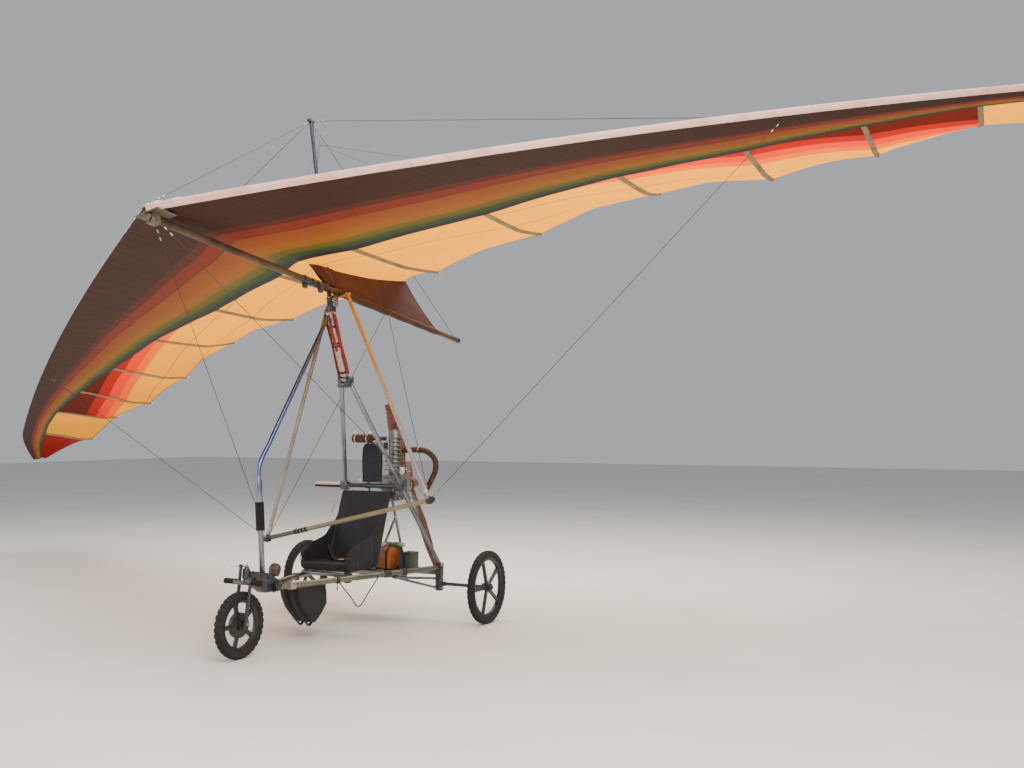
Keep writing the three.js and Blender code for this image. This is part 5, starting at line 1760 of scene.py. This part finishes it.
    def build_strut(self) -> None:
        """Makes the diagonal strut with its clamp and the clamp's white bolts."""
        high, low = at(*self.strut_high), at(*self.strut_low)
        dress(tube("diagonal_strut", high, low, 9, 1.2, 24, 3), ALLOY, Body.TRIKE, "alloy_tube")
        clamp = ring(9.2, 14, 28, high.lerp(low, 0.5), (low - high).normalized(), 24)
        dress(joined("strut_clamp", [clamp]), ENAMEL, Body.TRIKE, "dark_bracket")
        feet = [(high.lerp(low, share) + Vector((0.006, -0.013, 0)), Vector((0.3, -1, 0)))
                for share in (0.515, 0.545)]
        dress(bolts("strut_clamp_bolts", feet, 17), CAP_WHITE, Body.TRIKE, "tank_plastic")

    def build_levers(self) -> None:
        """Makes the levers on the beam with their knobs."""
        levers = [tube("lever", at(*start), at(*end), radius, 1, 18, 2) for start, end, radius in self.levers]
        dress(joined("beam_levers", levers), ANODISED, Body.TRIKE, "anodised_tube")
        knobs = [turned("knob", [(0.2, 0), (8, 1), (11, 8), (9, 15), (0.2, 18)], at(-98, 1372, 1000), PORTWARD, 22),
                 turned("knob", [(0.2, 0), (8, 1), (10, 8), (8, 14), (0.2, 16)], at(-300, 1304, 760),
                        Vector((0, -0.4, -1)), 22)]
        dress(joined("lever_knobs", knobs), CAP_WHITE, Body.TRIKE, "tank_plastic")


# Nodes that keep their shape: node, finish, body, slot and bevel in millimetres
REFINED = (
    ("nose_bracket", ENAMEL, Body.TRIKE, "dark_bracket", 2.0),
    ("front_strut", STRUT_ALLOY, Body.TRIKE, "alloy_tube", 0.8),
    ("strut_grip", FOAM, Body.TRIKE, "foam_grip", 4.0),
    ("rear_cross_tube", ALLOY, Body.TRIKE, "alloy_tube", 0.8),
    ("seat_bar_front", ALLOY, Body.TRIKE, "alloy_tube", 0.8),
    ("seat_bar_rear", ALLOY, Body.TRIKE, "alloy_tube", 0.8),
    ("engine_beam", ENAMEL, Body.TRIKE, "alloy_tube", 1.2),
    ("beam_pad", STUB, Body.TRIKE, "foam_grip", 5.0),
    ("tank_tray", ALLOY, Body.TRIKE, "alloy_tube", 0.8),
    ("fuel_tank", TANK, Body.TRIKE, "tank_plastic", 14.0),
    ("battery_box", BOX, Body.TRIKE, "box_paint", 5.0),
    ("engine_mount", ALLOY, Body.TRIKE, "alloy_tube", 1.2),
    ("engine_case", CASTING, Body.TRIKE, "cast_alloy", 8.0),
    ("engine_cylinder", CASTING, Body.TRIKE, "cast_alloy", 0.8),
    ("exhaust", SCALE, Body.TRIKE, "rusty_steel", 0.8),
    ("intake_silencer", SCALE, Body.TRIKE, "rusty_steel", 4.0),
    ("fork", ENAMEL, Body.FORK, "dark_bracket", 2.0),
    ("foot_peg_port", FOAM, Body.FORK, "foam_grip", 2.0),
    ("foot_peg_starboard", FOAM, Body.FORK, "foam_grip", 2.0),
    ("brake_pedal", NYLON, Body.FORK, "mag_wheel", 1.5),
    ("propeller", BEECH, Body.PROPELLER, "prop_wood", 1.0),
    ("hang_block", ZINC, Body.HANG_BLOCK, "steel_fitting", 1.5),
    ("keel_tube", KEEL_TUBE, Body.WING, "alloy_tube", 1.0),
    ("kingpost", POST, Body.WING, "alloy_tube", 1.0),
    ("nose_plate", PLATE, Body.WING, "steel_fitting", 0.8),
)


def dress_nodes() -> None:
    """Rounds the edges of the nodes that keep their shape and dresses them."""
    for node, finish, body, slot, bevel in REFINED:
        dress(refined(node, bevel), finish, body, slot, node)


def main() -> None:
    """Builds the studio and the trike's sub-assemblies in order."""
    logging.basicConfig(level=logging.INFO, format="%(name)s: %(message)s")
    Studio().build()
    trike_frame = Frame()
    HangingCable(trike_frame).build()
    trike_frame.build()
    wing = Wing()
    for side in Side:
        SailHalf(wing, side).build()
    for wheel in WHEELS:
        wheel.build()
    dress_nodes()
    for part in (Nose(), Seating(), MastHead(), PowerUnit(), ControlFrame(), KeelPocket(wing), Rigging(wing)):
        part.build()


if __name__ == "__main__":
    main()
